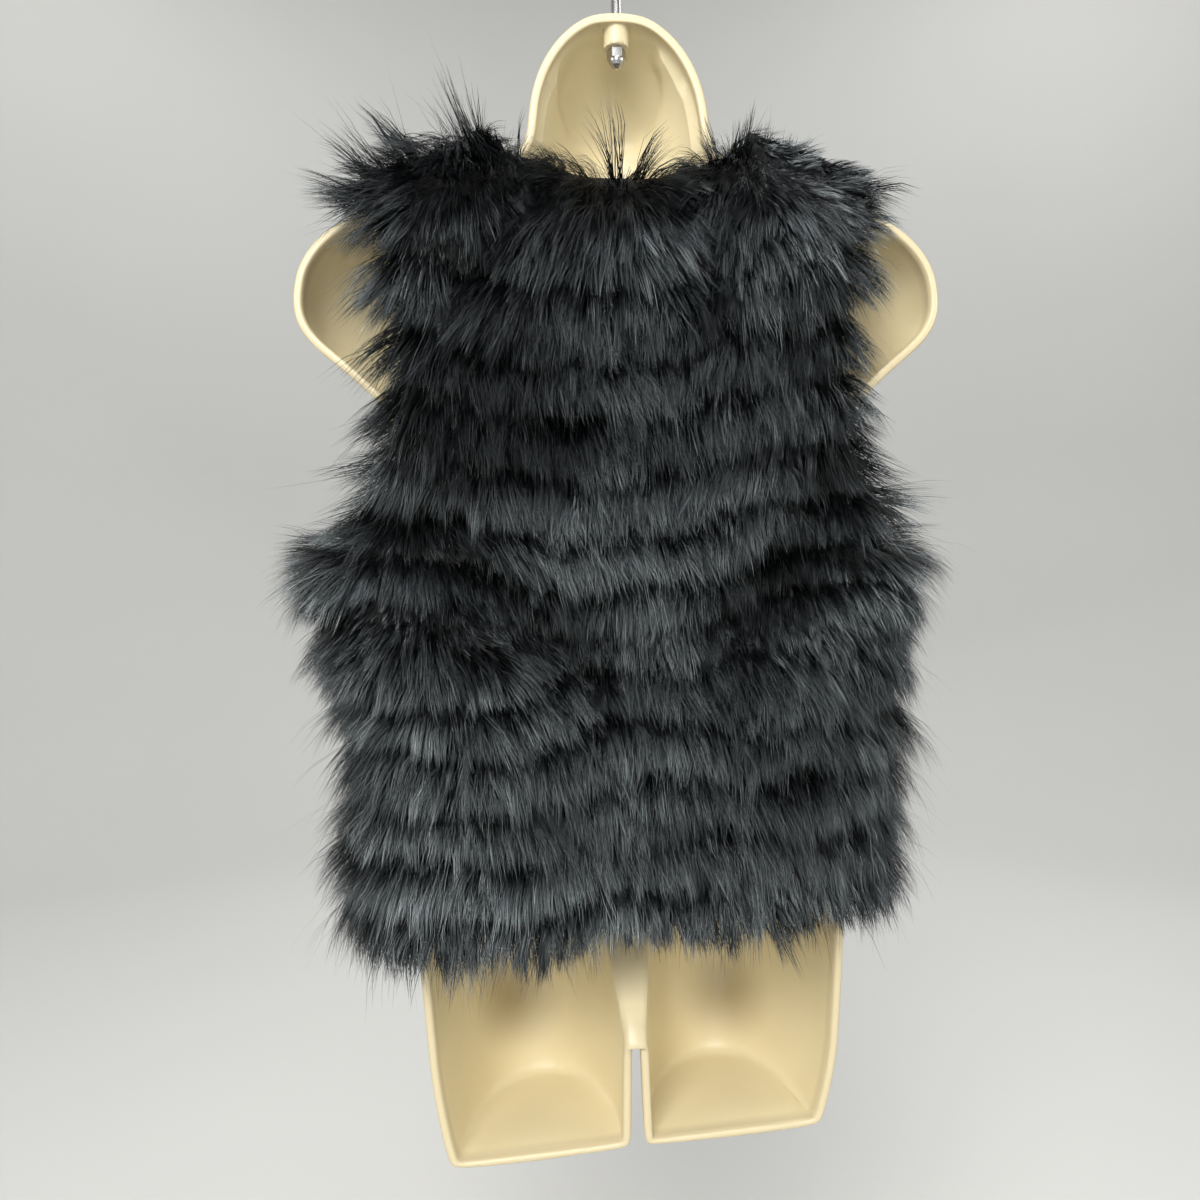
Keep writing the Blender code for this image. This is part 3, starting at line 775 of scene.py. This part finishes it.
# Sides, where the pile stands off: place across, drop, radius, added lift at root and tip
PUFFS = (
    (0.205, 0.41, 0.085, 12, 24),
    (-0.205, 0.41, 0.075, 8, 15),
    (-0.195, 0.5, 0.05, 8, 14),
    (0.195, 0.55, 0.05, 6, 12),
    (-0.2, 0.555, 0.045, 10, 17),
)
TROUGH_SHORTER = 0.28
# Painted shade on strands in the troughs, as a share of their tone
TROUGH_PAINTED_SHADE = 0.72
TROUGH_BROADER = 1.5
TROUGH_HANG = 0.012
# Painted shade on strands in the furrows between tiers, as a share of their tone
FURROW_PAINTED_SHADE = 0.45
# Painted shade on strands at the hem, as a share of their tone
HEM_PAINTED_SHADE = 0.92
HEM_WIDER = 0.8
HEM_PULL = 0.2
HEM_STRAYS = 0.1
# Broad painted shade and painted highlight on the back's pile: place across, drop, radius, change of tone
BACK_PAINTED_SHADE_AND_HIGHLIGHT = (
    (0.086, 0.262, 0.082, -0.8),
    (0.045, 0.378, 0.032, -0.4),
    (0.118, 0.24, 0.06, -0.45),
    (0.068, 0.148, 0.022, -0.65),
    (0.086, 0.182, 0.022, -0.55),
    (-0.046, 0.148, 0.02, -0.65),
    (-0.112, 0.195, 0.045, -0.65),
    (-0.048, 0.192, 0.034, -0.55),
    (-0.122, 0.285, 0.042, -0.55),
    (-0.09, 0.36, 0.046, -0.75),
    (-0.057, 0.434, 0.04, -0.4),
    (-0.087, 0.475, 0.055, -0.55),
    (-0.02, 0.532, 0.055, -0.3),
    (0.05, 0.505, 0.045, -0.35),
    (0.02, 0.385, 0.04, -0.4),
    (-0.04, 0.405, 0.04, -0.3),
    (-0.014, 0.162, 0.04, 0.9),
    (0.108, 0.168, 0.034, 0.5),
    (-0.087, 0.163, 0.04, 0.7),
    (0.145, 0.362, 0.045, 0.9),
    (-0.148, 0.362, 0.034, 0.8),
    (0.118, 0.532, 0.065, 0.32),
    (0.155, 0.545, 0.04, 0.35),
)
# Shoulder seams, where some locks stand up
STAND_DROP = 0.1
STAND_REACH = 0.03
STAND_FROM_X = 0.055
STAND_FADE = 0.02
STAND_SHARE = 0.45
STAND_RIGHT_LESS = 0.75
SEAM_LIFT = 26.0
SEAM_RIGHT_LESS = 0.5
STAND_ROOT_LIFT = 20.0
STAND_TIP_LIFT = 40.0
STAND_LENGTH = 0.031


# Smooth random values: number of waves, spread of their lengths, divisor
DRIFT_WAVES = 7
DRIFT_RANGE = (0.7, 1.4)
DRIFT_SCALE = 2.6


def drift(place, wavelength, rng):
    """Smooth random values, mostly from -1 to 1."""
    total = np.zeros(len(place))
    for _ in range(DRIFT_WAVES):
        wave = unit(rng.normal(size=3)) * 2 * math.pi / wavelength * rng.uniform(*DRIFT_RANGE)
        total += np.sin(place @ wave + rng.uniform(0, 2 * math.pi))
    return total / DRIFT_SCALE


def drifts(place, table, rng):
    """Sum of smooth random values, from rows of size and wavelength."""
    return sum(size * drift(place, wavelength, rng) for size, wavelength in table)


def sprinkled(mesh, count, rng):
    """Points spread evenly at random over a mesh, with its normals there."""
    points, normals, corners = points_of(mesh), normals_of(mesh), triangles_of(mesh)
    first, second, third = (points[corners[:, corner]] for corner in range(3))
    areas = np.linalg.norm(np.cross(second - first, third - first), axis=1)
    chosen = corners[rng.choice(len(corners), count, p=areas / areas.sum())]
    one, two = rng.random((2, count, 1))
    over = one + two > 1
    one, two = np.where(over, 1 - one, one), np.where(over, 1 - two, two)
    shares = np.concatenate([1 - one - two, one, two], axis=1)
    place = np.einsum("nk,nkd->nd", shares, points[chosen])
    return place, unit(np.einsum("nk,nkd->nd", shares, normals[chosen]))


def boundary(mesh):
    """Each open edge of a sheet: its middle, and the way straight off the sheet."""
    shape = bmesh.new()
    shape.from_mesh(mesh)
    middles, offs = [], []
    for edge in shape.edges:
        if len(edge.link_faces) != 1:
            continue
        face = edge.link_faces[0]
        start, end = (vert.co for vert in edge.verts)
        middle = (start + end) / 2
        off = (end - start).cross(face.normal).normalized()
        if off.dot(middle - face.calc_center_median()) < 0:
            off = -off
        middles.append(middle[:])
        offs.append(off[:])
    shape.free()
    return np.array(middles), np.array(offs)


def nearest(points, places):
    """Number and distance of the point that is nearest to each place."""
    tree = KDTree(len(points))
    for number, point in enumerate(points):
        tree.insert(point, number)
    tree.balance()
    _, numbers, far = zip(*(tree.find(place) for place in places))
    return np.array(numbers), np.array(far)


def edge_kinds(middles, panel):
    drop, across = drop_of(middles), np.abs(middles[:, 0])
    kinds = np.full(len(middles), "front" if panel != "back" else "neck", dtype=object)
    kinds[drop < NECK_TO_DROP] = "neck"
    kinds[(across > ARMHOLE_FROM_X) & (drop < HEM_FROM_DROP)] = "armhole"
    kinds[drop > HEM_FROM_DROP] = "hem"
    return kinds


def edge_pull(place, edges, panel):
    """For each place: the way off the nearest free edge, and what turn, lift and length it adds."""
    middles, offs = edges
    settings = np.array([EDGES[kind] for kind in edge_kinds(middles, panel)])
    number, far = nearest(middles, place)
    reach, turn, lift, longer = settings[number].T
    near = smooth_step(1 - far / reach)
    return offs[number], turn * near, lift * near, longer * near


def flat_on(vectors, normals):
    return unit(vectors - normals * np.sum(vectors * normals, axis=1, keepdims=True))


def turned(lie, normal, degrees):
    angle = np.radians(degrees)[:, None]
    return lie * np.cos(angle) + np.cross(normal, lie) * np.sin(angle)


def flow_turn(place, table, fans):
    """Degrees by which the pile turns from straight down, towards the wearer's right."""
    drop = drop_of(place)
    total = np.zeros(len(place))
    for across, at_drop, radius, degrees in table:
        far = ((place[:, 0] - across) ** 2 + (drop - at_drop) ** 2) / radius ** 2
        total += degrees * np.exp(-far)
    for across, at_drop, reach, strength in fans:
        aside, below = across - place[:, 0], drop - at_drop
        share = strength * smooth_step(1 - np.hypot(aside, below) / (2 * reach)) * (below > 0)
        total += share * np.degrees(np.arctan2(aside, np.maximum(below, LEAST_BELOW)))
    return total


def lobe_turn(place):
    """Degrees by which it turns in the lobes at the top of the back."""
    drop = drop_of(place)
    points = np.array(BACK_LOBES)
    number = np.zeros(len(place), int)
    for across, slope in LOBE_CREASES:
        number += place[:, 0] < across + slope * (drop - LOBE_CREASE_DROP)
    aside = points[number, 0] - place[:, 0]
    below = np.maximum(drop - points[number, 1], LOBE_LEAST_BELOW)
    share = LOBE_STRENGTH * rise(drop, *LOBE_FADE)
    return share * np.degrees(np.arctan2(aside, below))


def tuft_of(place, panel):
    """For each place: the values of its tuft, and how near it is to the tuft's middle."""
    table = BACK_TUFTS if panel == "back" else FRONT_TUFTS
    number, best = np.zeros(len(place), int), np.zeros(len(place))
    for index, (across, drop, radius, *_) in enumerate(table):
        share = near_spot(place, across, drop, radius, TUFT_PLATEAU)
        number = np.where(share > best, index, number)
        best = np.maximum(best, share)
    return np.array(table)[number], best


def side_of(panel):
    return 1.0 if panel == "back" else -1.0


def base_lie(place, normal, panel, edges, rng):
    """Lie of the pile at each place, and what the free edges add to lift and length."""
    side = side_of(panel)
    over = rise(drop_of(place), *OVER_FADE)
    down = np.stack([np.zeros(len(place)), side * over, -np.ones(len(place))], axis=1)
    lie = flat_on(down, normal)
    stray = drifts(place, LIE_DRIFTS, rng)
    if panel == "back":
        flow = flow_turn(place, BACK_FLOW, BACK_FANS) + lobe_turn(place)
    else:
        flow = flow_turn(place, FRONT_FLOW, ())
    lie = turned(lie, normal, flow + stray)
    off, turn, lift, longer = edge_pull(place, edges, panel)
    lie = flat_on(lie * (1 - turn[:, None]) + off * turn[:, None], normal)
    return lie, lift, longer


def near_spot(place, across, drop, radius, plateau=1.0):
    """One near a spot of the cloth, falling to nothing a radius away."""
    return smooth_step(plateau * (1 - np.hypot(place[:, 0] - across, drop_of(place) - drop) / radius))


def furrow_bend(place):
    """How far lower the furrows run at each place than down the centre back."""
    aside = place[:, 0] - RISE_CENTRE_X
    higher = np.where(aside > 0, RISE_LEFT, RISE_RIGHT) * rise(np.abs(aside), *RISE_ACROSS)
    sink = SINK_LEFT * smooth_step(place[:, 0] / SINK_REACH)
    lower = rise(drop_of(place), *SINK_DROP)
    return sink * lower - higher * (1 - lower)


def tiers_above(drop):
    """Number of tiers, with its fraction, down to each drop, and their spacing there."""
    furrows = np.array(FURROW_DROPS)
    count = np.interp(drop, furrows, np.arange(len(furrows))) + FURROW_PHASE
    return count, np.interp(drop, (furrows[1:] + furrows[:-1]) / 2, np.diff(furrows))


def tier_values(place, rng):
    """Length, lift and share of furrow at each place: tiers of long pile over furrows of short."""
    drop = drop_of(place)
    count, pitch = tiers_above(drop - furrow_bend(place) + drifts(place, TIER_WAVES, rng))
    phase = count % 1.0
    firm = TIER_FIRM + drifts(place, TIER_UNEVEN, rng)
    for *spot, change in TIER_CHANGES:
        firm += change * near_spot(place, *spot)
    strength = rise(drop, *TIER_TOP) * np.clip(firm, 0, 1)
    long_share = rise(phase, *LONG_START) * rise(phase, *LONG_END)
    long_share = np.maximum(long_share, rise(drop, *HEM_FULL))
    long_length = np.clip((TIP_PHASE - phase) * pitch / REACH_SHARE, LONG_LEAST, LONG_MOST)
    tiered = SHORT_LENGTH + (long_length - SHORT_LENGTH) * long_share
    length = PLAIN_LENGTH + (tiered - PLAIN_LENGTH) * strength
    furrow = strength * (1 - long_share)
    lift = ROOT_LIFT - FURROW_LOWER * furrow - UPPER_FLATTER * rise(drop, *UPPER_FADE)
    return length, lift, furrow


def spread(count, amounts, rng):
    """Random changes of length, as a factor, and of lie and lift, in degrees."""
    longer, aside, raised = amounts
    factor = np.exp(rng.normal(0, longer, count))
    return factor, rng.normal(0, aside, count), rng.normal(0, raised, count)


def raised_from(lie, normal, degrees):
    angle = np.radians(degrees)[:, None]
    return lie * np.cos(angle) + normal * np.sin(angle)


def curves_from(place, first, last, length):
    """Points along each strand, which sets out in the first direction and ends in the last."""
    middle = place + first * length[:, None] / 2
    tip = middle + last * length[:, None] / 2
    step = STEPS[None, :, None]
    bend = 2 * step * (1 - step)
    return (1 - step) ** 2 * place[:, None] + bend * middle[:, None] + step ** 2 * tip[:, None]


def pulled(curves, guides, share):
    """Curves drawn towards their guides, more and more towards the tip."""
    pull = share[:, None, None] * STEPS[None, :, None] ** PULL_POWER
    return curves + (guides - curves) * pull


class Groups:
    """Locks or wisps: strands as their centres, and the number of each strand's nearest centre."""

    def __init__(self, place, spacing, area, rng):
        count = min(len(place) // 2, int(area / spacing ** 2))
        self.centres = rng.choice(len(place), count, replace=False)
        self.of = nearest(place[self.centres], place)[0]

    def drawn(self, rng):
        """A random share for each group, as each strand has it."""
        return rng.random(len(self.centres))[self.of]

    def spread(self, amounts, rng):
        return [values[self.of] for values in spread(len(self.centres), amounts, rng)]


def trough_share(place, panel):
    """One for strands in the panel's troughs, nothing away from them."""
    hung = place - np.array([0.0, 0.0, TROUGH_HANG])
    share = np.zeros(len(place))
    for *line, height, breadth in BACK_CREASES if panel == "back" else FRONT_CREASES:
        if height < 0:
            share = np.maximum(share, line_share(hung, *line, TROUGH_BROADER * breadth))
    return share


def changes(place, table):
    """Factor at each place from a table of spots, each with its change."""
    factor = np.ones(len(place))
    for *spot, change in table:
        factor *= 1 + change * near_spot(place, *spot, SPOT_PLATEAU)
    return factor


def rooted(mesh, middles, count, rng):
    """Roots of the strands: place, normal, tier's length and lift, shares of furrow and hem."""
    place, normal = sprinkled(mesh, int(count * SPRINKLED_MORE), rng)
    length, lift, furrow = tier_values(place, rng)
    near_edge = smooth_step(1 - nearest(middles, place)[1] / EDGE_DENSE_REACH)
    wanted = (1 - (1 - FURROW_KEEP) * furrow) * (1 + (EDGE_DENSER - 1) * near_edge) / EDGE_DENSER
    kept = np.nonzero(rng.random(len(place)) < wanted)[0][:count]
    at_hem = near_edge * (drop_of(place) > HEM_FROM_DROP)
    return [values[kept] for values in (place, normal, length, lift, furrow, at_hem)]


def at_shoulder(place, chance):
    """How much each strand is raised and how much it stands up at a shoulder seam."""
    along = rise(np.abs(place[:, 0]), STAND_FROM_X, STAND_FADE)
    seam = smooth_step(1 - np.abs(drop_of(place) - STAND_DROP) / STAND_REACH) * along
    less = STAND_RIGHT_LESS * smooth_step(-place[:, 0] / STAND_FROM_X)
    return seam * (1 - SEAM_RIGHT_LESS * less), seam * (chance < STAND_SHARE) * (1 - less)


def lengths_and_lifts(panel, place, length, lift, edge_lift, edge_longer, chance):
    """Length of each strand, and its lift at root and tip."""
    seam, stand = at_shoulder(place, chance)
    length = (length + edge_longer) * (1 - stand) + STAND_LENGTH * stand
    root_lift = lift + edge_lift + SEAM_LIFT * seam + STAND_ROOT_LIFT * stand
    tip_lift = TIP_LIFT + edge_lift + STAND_TIP_LIFT * stand
    for *spot, root_more, tip_more in PUFFS:
        near = near_spot(place, *spot)
        root_lift = root_lift + root_more * near
        tip_lift = tip_lift + tip_more * near
    length = length * (1 - TROUGH_SHORTER * trough_share(place, panel))
    if panel == "back":
        length = length * changes(place, LENGTH_CHANGES)
    return length, root_lift, tip_lift


def ends_of(place, lie, normal, root_lift, tip_lift):
    """Directions in which each strand sets out and ends."""
    sag = SAG + (SAG_UPPER - SAG) * rise(drop_of(place), *UPPER_FADE)
    last = raised_from(lie, normal, tip_lift) + sag[:, None] * np.array([0.0, 0.0, -1.0])
    return raised_from(lie, normal, root_lift), unit(last)


def tufted(first, last, normal, lean, share, panel):
    """Those directions, drawn towards the aims of the tufts."""
    off = TUFT_OFF * side_of(panel) * np.ones(len(lean))
    aim = np.stack([-np.sin(lean), off, np.cos(lean)], axis=1)
    first = unit(first + (aim + TUFT_ROOT_OFF * normal - first) * share[:, None])
    return first, unit(last + (aim - last) * share[:, None])


def gathered(curves, locks, wisps, share, rng):
    """Curves drawn into their wisps, and those into their locks."""
    guides = curves[wisps.centres]
    lock_guides = curves[locks.centres][locks.of[wisps.centres]]
    guides = pulled(guides, lock_guides, np.full(len(guides), LOCK_PULL))
    guides[:, 1:] += rng.normal(0, WISP_WAVE, guides[:, 1:].shape)
    return pulled(curves, guides[wisps.of], share)


def shaded_tones_of(panel, place, locks, wisps, stray, furrow, at_hem, rng):
    """Each strand's tone, from none to one: its own random tone, with painted shade in the troughs,
    furrows and at the hem, a painted highlight on strays, and painted shade and highlight over the back.
    """
    drawn = (locks.drawn(rng), wisps.drawn(rng), rng.random(len(place)))
    tones = sum(share * values for share, values in zip(TONE_SHARES, drawn))
    tones = tones + drifts(place, TONE_DRIFTS, rng)
    # Painted highlight: stray strands made paler
    tones = np.where(stray, np.maximum(tones, STRAY_PAINTED_HIGHLIGHT), tones)
    # Painted shade on strands in the troughs and in the furrows between tiers
    tones = tones * (1 - TROUGH_PAINTED_SHADE * trough_share(place, panel)) * (1 - FURROW_PAINTED_SHADE * furrow)
    if panel == "back":
        # Painted shade and painted highlight over the back's pile
        tones = tones * changes(place, BACK_PAINTED_SHADE_AND_HIGHLIGHT)
    # Painted shade on the strands at the hem
    return np.clip(tones * (1 - HEM_PAINTED_SHADE * at_hem), *TONE_LIMITS)


def grow(panel, mesh, edges, count, width, rng):
    """Strands of one panel: their points, root normals, widths, tones and twists."""
    place, normal, length, lift, furrow, at_hem = rooted(mesh, edges[0], count, rng)
    count = len(place)
    lie, edge_lift, edge_longer = base_lie(place, normal, panel, edges, rng)
    area = sum(face.area for face in mesh.polygons)
    wisps = Groups(place, WISP_SPACING, area, rng)
    locks = Groups(place, LOCK_SPACING, area, rng)
    lifts = (lift, edge_lift, edge_longer, locks.drawn(rng))
    length, root_lift, tip_lift = lengths_and_lifts(panel, place, length, *lifts)

    tuft, tuft_share = tuft_of(place, panel)
    _, _, _, tuft_lean, tuft_length, tuft_chance = tuft.T
    tuft_share = tuft_share * (wisps.drawn(rng) < tuft_chance)
    length = length + (tuft_length - length) * tuft_share

    spreads = [locks.spread(LOCK_SPREAD, rng), wisps.spread(WISP_SPREAD, rng)]
    spreads.append(spread(count, STRAND_SPREAD, rng))
    factors, asides, raises = zip(*spreads)
    stray = rng.random(count) < STRAY_SHARE + HEM_STRAYS * at_hem
    factor = math.prod(factors) * np.where(stray, STRAY_LONGER, 1.0)
    aside = sum(asides)
    raised = sum(raises) + STRAY_LIFT * stray

    lie = turned(lie, normal, aside)
    ends = ends_of(place, lie, normal, root_lift + raised, tip_lift + raised)
    ends = tufted(*ends, normal, np.radians(tuft_lean + aside), tuft_share, panel)
    curves = curves_from(place, *ends, length * factor)
    curves = gathered(curves, locks, wisps, np.where(stray, 0.0, WISP_PULL + HEM_PULL * at_hem), rng)

    widths = width * np.exp(rng.normal(0, WIDTH_SPREAD, count)) * np.where(stray, STRAY_THINNER, 1.0)
    widths = widths * (1 + HEM_WIDER * at_hem)
    tones = shaded_tones_of(panel, place, locks, wisps, stray, furrow, at_hem, rng)
    twist = rng.uniform(-WISP_TWIST_DEG, WISP_TWIST_DEG, len(wisps.centres))[wisps.of]
    twist = twist + rng.uniform(-TWIST_DEG, TWIST_DEG, count)
    return held_in(curves, rng), normal, widths, tones, twist


def held_in(curves, rng):
    """Strands that would pass the size limits, made shorter to end at or just before them."""
    low, high = np.array(cad_low), np.array(cad_high)
    margin = LIMIT_SHARE * (high - low) + LIMIT_PROUD
    middle = (high + low) / 2
    roots = curves[:, :1]
    spare = 1 - LIMIT_SPREAD * rng.random((len(curves), 1, 1))
    limit = (high - middle + margin) * spare
    reach = curves - roots
    room = np.where(reach > 0, middle + limit - roots, roots - middle + limit)
    share = np.maximum(room, LIMIT_LEAST) / np.maximum(np.abs(reach), TINY)
    share = np.clip(share, 0, 1).min(axis=(1, 2))
    return roots + reach * share[:, None, None]


# One ribbon: side and step of each of its points, point of each corner, first corner of each face
RIBBON_SIDES = np.array([-1, 1, -1, 1, -1, 1, 0])
RIBBON_STEPS = np.array([0, 0, 1, 1, 2, 2, 3])
RIBBON_CORNERS = np.array([0, 1, 3, 2, 2, 3, 5, 4, 4, 5, 6])
RIBBON_FACES = np.array([0, 4, 8])


def ribbon_mesh(name, points):
    """A mesh of ribbons from the points of each."""
    count, each = points.shape[:2]
    number = np.arange(count)[:, None]
    loops = (RIBBON_CORNERS[None] + each * number).astype(np.int32)
    begin = (RIBBON_FACES[None] + len(RIBBON_CORNERS) * number).astype(np.int32)
    mesh = bpy.data.meshes.new(name)
    mesh.vertices.add(count * each)
    mesh.vertices.foreach_set("co", points.astype(np.float32).ravel())
    mesh.loops.add(loops.size)
    mesh.loops.foreach_set("vertex_index", loops.ravel())
    mesh.polygons.add(begin.size)
    mesh.polygons.foreach_set("loop_start", begin.ravel())
    mesh.update(calc_edges=True)
    return mesh


def ribbons(name, strands, finish):
    """One mesh of tapering ribbons, with normals spread across each as on a round hair."""
    curves, normal, widths, tones, turn = strands
    along = unit(np.gradient(curves, axis=1))
    across = unit(np.cross(along, normal[:, None]))
    twist = np.radians(turn)[:, None, None]
    across = across * np.cos(twist) + np.cross(along, across) * np.sin(twist)
    facing = np.cross(across, along)
    side = RIBBON_SIDES[None, :, None]
    half = (widths[:, None] * TAPER / 2)[:, RIBBON_STEPS, None]
    points = curves[:, RIBBON_STEPS] + side * across[:, RIBBON_STEPS] * half
    shading = unit(facing[:, RIBBON_STEPS] + ROUNDNESS * side * across[:, RIBBON_STEPS])
    mesh = ribbon_mesh(name, points)
    strand_map = np.empty((*points.shape[:2], 2))
    strand_map[:, :, 0] = tones[:, None] + RIBBON_SIDES[None] * TONE_WIDTH
    strand_map[:, :, 1] = STEPS[RIBBON_STEPS]
    per_loop = strand_map[:, RIBBON_CORNERS].astype(np.float32).ravel()
    for label in ("OFBake", "strand"):
        mesh.uv_layers.new(name=label).data.foreach_set("uv", per_loop)
    mesh.normals_split_custom_set_from_vertices(shading.reshape(-1, 3))
    return keep(new_object(name, mesh, finish), "black_fur")


def split_across(strands, pieces):
    """Strands parted into equal lots from one side of the panel to the other."""
    order = np.argsort(strands[0][:, 0, 0])
    return [[values[lot] for values in strands] for lot in np.array_split(order, pieces)]


def build_fur(panel, mesh, edges, finish, rng):
    if panel == "back":
        strands = grow(panel, mesh, edges, BACK_STRANDS * BACK_PIECES, WIDTH_BACK, rng)
        lots = split_across(strands, BACK_PIECES)
    else:
        lots = [grow(panel, mesh, edges, FRONT_STRANDS, WIDTH_FRONT, rng)]
    return [ribbons(f"fur_pile_{panel}_{number}", lot, finish) for number, lot in enumerate(lots)]


def free_edges(panel, boundaries):
    """A panel's open edges without those that are sewn to another panel."""
    others = np.concatenate([boundaries[other][0] for other in PANELS if other != panel])
    middles, offs = boundaries[panel]
    free = nearest(others, middles)[1] > SEAM_GAP
    return middles[free], offs[free]


# Stage, light and camera

FLOOR_Z = -1.15
COVE_FLOOR_RADIUS = 2.0
COVE_ROUND = 1.2
COVE_HEIGHT = 4.0
COVE_SIDES = 96
COVE_STEPS = 14
COVE_WELD = 1e-5


def build_stage(finish):
    """A round studio cove: a floor that curves up into a wall on every side."""
    profile = [(0.0, FLOOR_Z)]
    for step in range(COVE_STEPS + 1):
        turn = math.pi / 2 * step / COVE_STEPS
        radius = COVE_FLOOR_RADIUS + COVE_ROUND * math.sin(turn)
        profile.append((radius, FLOOR_Z + COVE_ROUND * (1 - math.cos(turn))))
    profile.append((COVE_FLOOR_RADIUS + COVE_ROUND, FLOOR_Z + COVE_HEIGHT))
    shape = bmesh.new()
    verts = [shape.verts.new((radius, 0.0, z)) for radius, z in profile]
    edges = [shape.edges.new(pair) for pair in zip(verts, verts[1:])]
    about = {"axis": (0, 0, 1), "cent": (0, 0, 0), "angle": 2 * math.pi}
    bmesh.ops.spin(shape, geom=verts + edges, steps=COVE_SIDES, use_merge=True, **about)
    bmesh.ops.remove_doubles(shape, verts=shape.verts, dist=COVE_WELD)
    bmesh.ops.recalc_face_normals(shape, faces=shape.faces)
    mesh = bpy.data.meshes.new("studio_cove")
    shape.to_mesh(mesh)
    shape.free()
    mesh.shade_smooth()
    new_object("studio_cove", mesh, finish)


WARM = (1.0, 0.985, 0.96)
COOL = (0.97, 0.985, 1.0)
CREAM = (1.0, 0.99, 0.97)
# Lights: name, place, aim, width, power in watts, colour
LIGHTS = (
    ("key", (0.55, 1.6, 0.58), (0, 0, -0.42), 1, 38.5, WARM),
    ("top", (0.1, 0.85, 1.55), (0, 0, -0.3), 1.1, 17, (0.98, 0.99, 1)),
    ("camera_fill", (0.1, 1.5, -0.15), (0, 0, -0.5), 0.9, 10.5, WARM),
    ("left_fill", (1.9, 0.9, 0.1), (0, 0, -0.45), 1.2, 10, COOL),
    ("right_fill", (-1.9, 0.9, 0.1), (0, 0, -0.45), 1.2, 15, COOL),
    ("front_key", (-0.5, -1.8, 0.9), (0, 0, -0.42), 1.6, 20, WARM),
    ("backdrop_left", (1.3, -1.5, 2), (0.8, -3.2, -0.3), 1, 14, CREAM),
    ("backdrop_right", (-1.3, -1.5, 2), (-0.8, -3.2, -0.3), 1, 14, CREAM),
)
WORLD_COLOUR = (0.93, 0.95, 1.0, 1.0)
WORLD_STRENGTH = 0.25


def aimed(place, aim, roll=0.0):
    """World matrix of a camera or light at a place, looking at an aim and rolled."""
    place, aim = Vector(place), Vector(aim)
    turn = (aim - place).to_track_quat("-Z", "Y").to_matrix().to_4x4()
    return Matrix.Translation(place) @ turn @ Matrix.Rotation(roll, 4, "Z")


def build_lights():
    for name, place, aim, width, power, colour in LIGHTS:
        lamp = bpy.data.lights.new(name, "AREA")
        lamp.shape = "DISK"
        lamp.size = width
        lamp.energy = power
        lamp.color = colour
        link(bpy.data.objects.new(name, lamp)).matrix_world = aimed(place, aim)
    world = bpy.data.worlds.new("studio")
    world.use_nodes = True
    ground = world.node_tree.nodes["Background"]
    ground.inputs["Color"].default_value = WORLD_COLOUR
    ground.inputs["Strength"].default_value = WORLD_STRENGTH
    bpy.context.scene.world = world


IMAGE_SIDE_PX = 1200
FOCAL_PX = 915
SENSOR_MM = 36.0
CLIP_START = 0.01
CAMERA_DISTANCE = 0.597
CAMERA_AZIMUTH_DEG = 175.0
CAMERA_Z = NECK_TOP_Z - 0.385
AXIS_RIGHT_OF_CENTRE_PX = 28
CAMERA_ROLL_DEG = -1.07


def build_camera():
    """The photo's view: close and level behind the form, a little to the wearer's left."""
    lens = bpy.data.cameras.new("photo_view")
    lens.sensor_width = SENSOR_MM
    lens.lens = SENSOR_MM * FOCAL_PX / IMAGE_SIDE_PX
    lens.clip_start = CLIP_START
    camera = link(bpy.data.objects.new("photo_view", lens))
    turn = math.radians(CAMERA_AZIMUTH_DEG)
    axis = Vector((0.0, RIM_Y, CAMERA_Z))
    place = axis + CAMERA_DISTANCE * Vector((math.sin(turn), -math.cos(turn), 0.0))
    aside = CAMERA_DISTANCE * AXIS_RIGHT_OF_CENTRE_PX / FOCAL_PX
    camera.matrix_world = aimed(place, axis + Vector((aside, 0.0, 0.0)), math.radians(CAMERA_ROLL_DEG))
    bpy.context.scene.camera = camera


def main():
    bpy.context.scene.view_settings.view_transform = "Standard"
    build_camera()
    build_lights()
    build_stage(stage_material())
    form = build_form(plastic_material())
    dress_hook(metal_material())
    form_tree = tree_of(form)
    satin, knit, hair = lining_material(), backing_material(), fur_material()
    rng = np.random.default_rng(SEED)
    backings = {panel: draped(*BACKING, panel, form_tree, knit) for panel in PANELS}
    boundaries = {panel: boundary(backing.data) for panel, backing in backings.items()}
    for panel, backing in backings.items():
        lining = thickened(draped(*LINING, panel, form_tree, satin), LINING_THICKNESS)
        keep(lining, "black_lining", "lining_" + panel)
        pile = build_fur(panel, backing.data, free_edges(panel, boundaries), hair, rng)
        lengthened(backing, form_tree)
        thickened(backing, BACKING_THICKNESS)
        keep(backing, "black_fur", "fur_" + panel)


main()
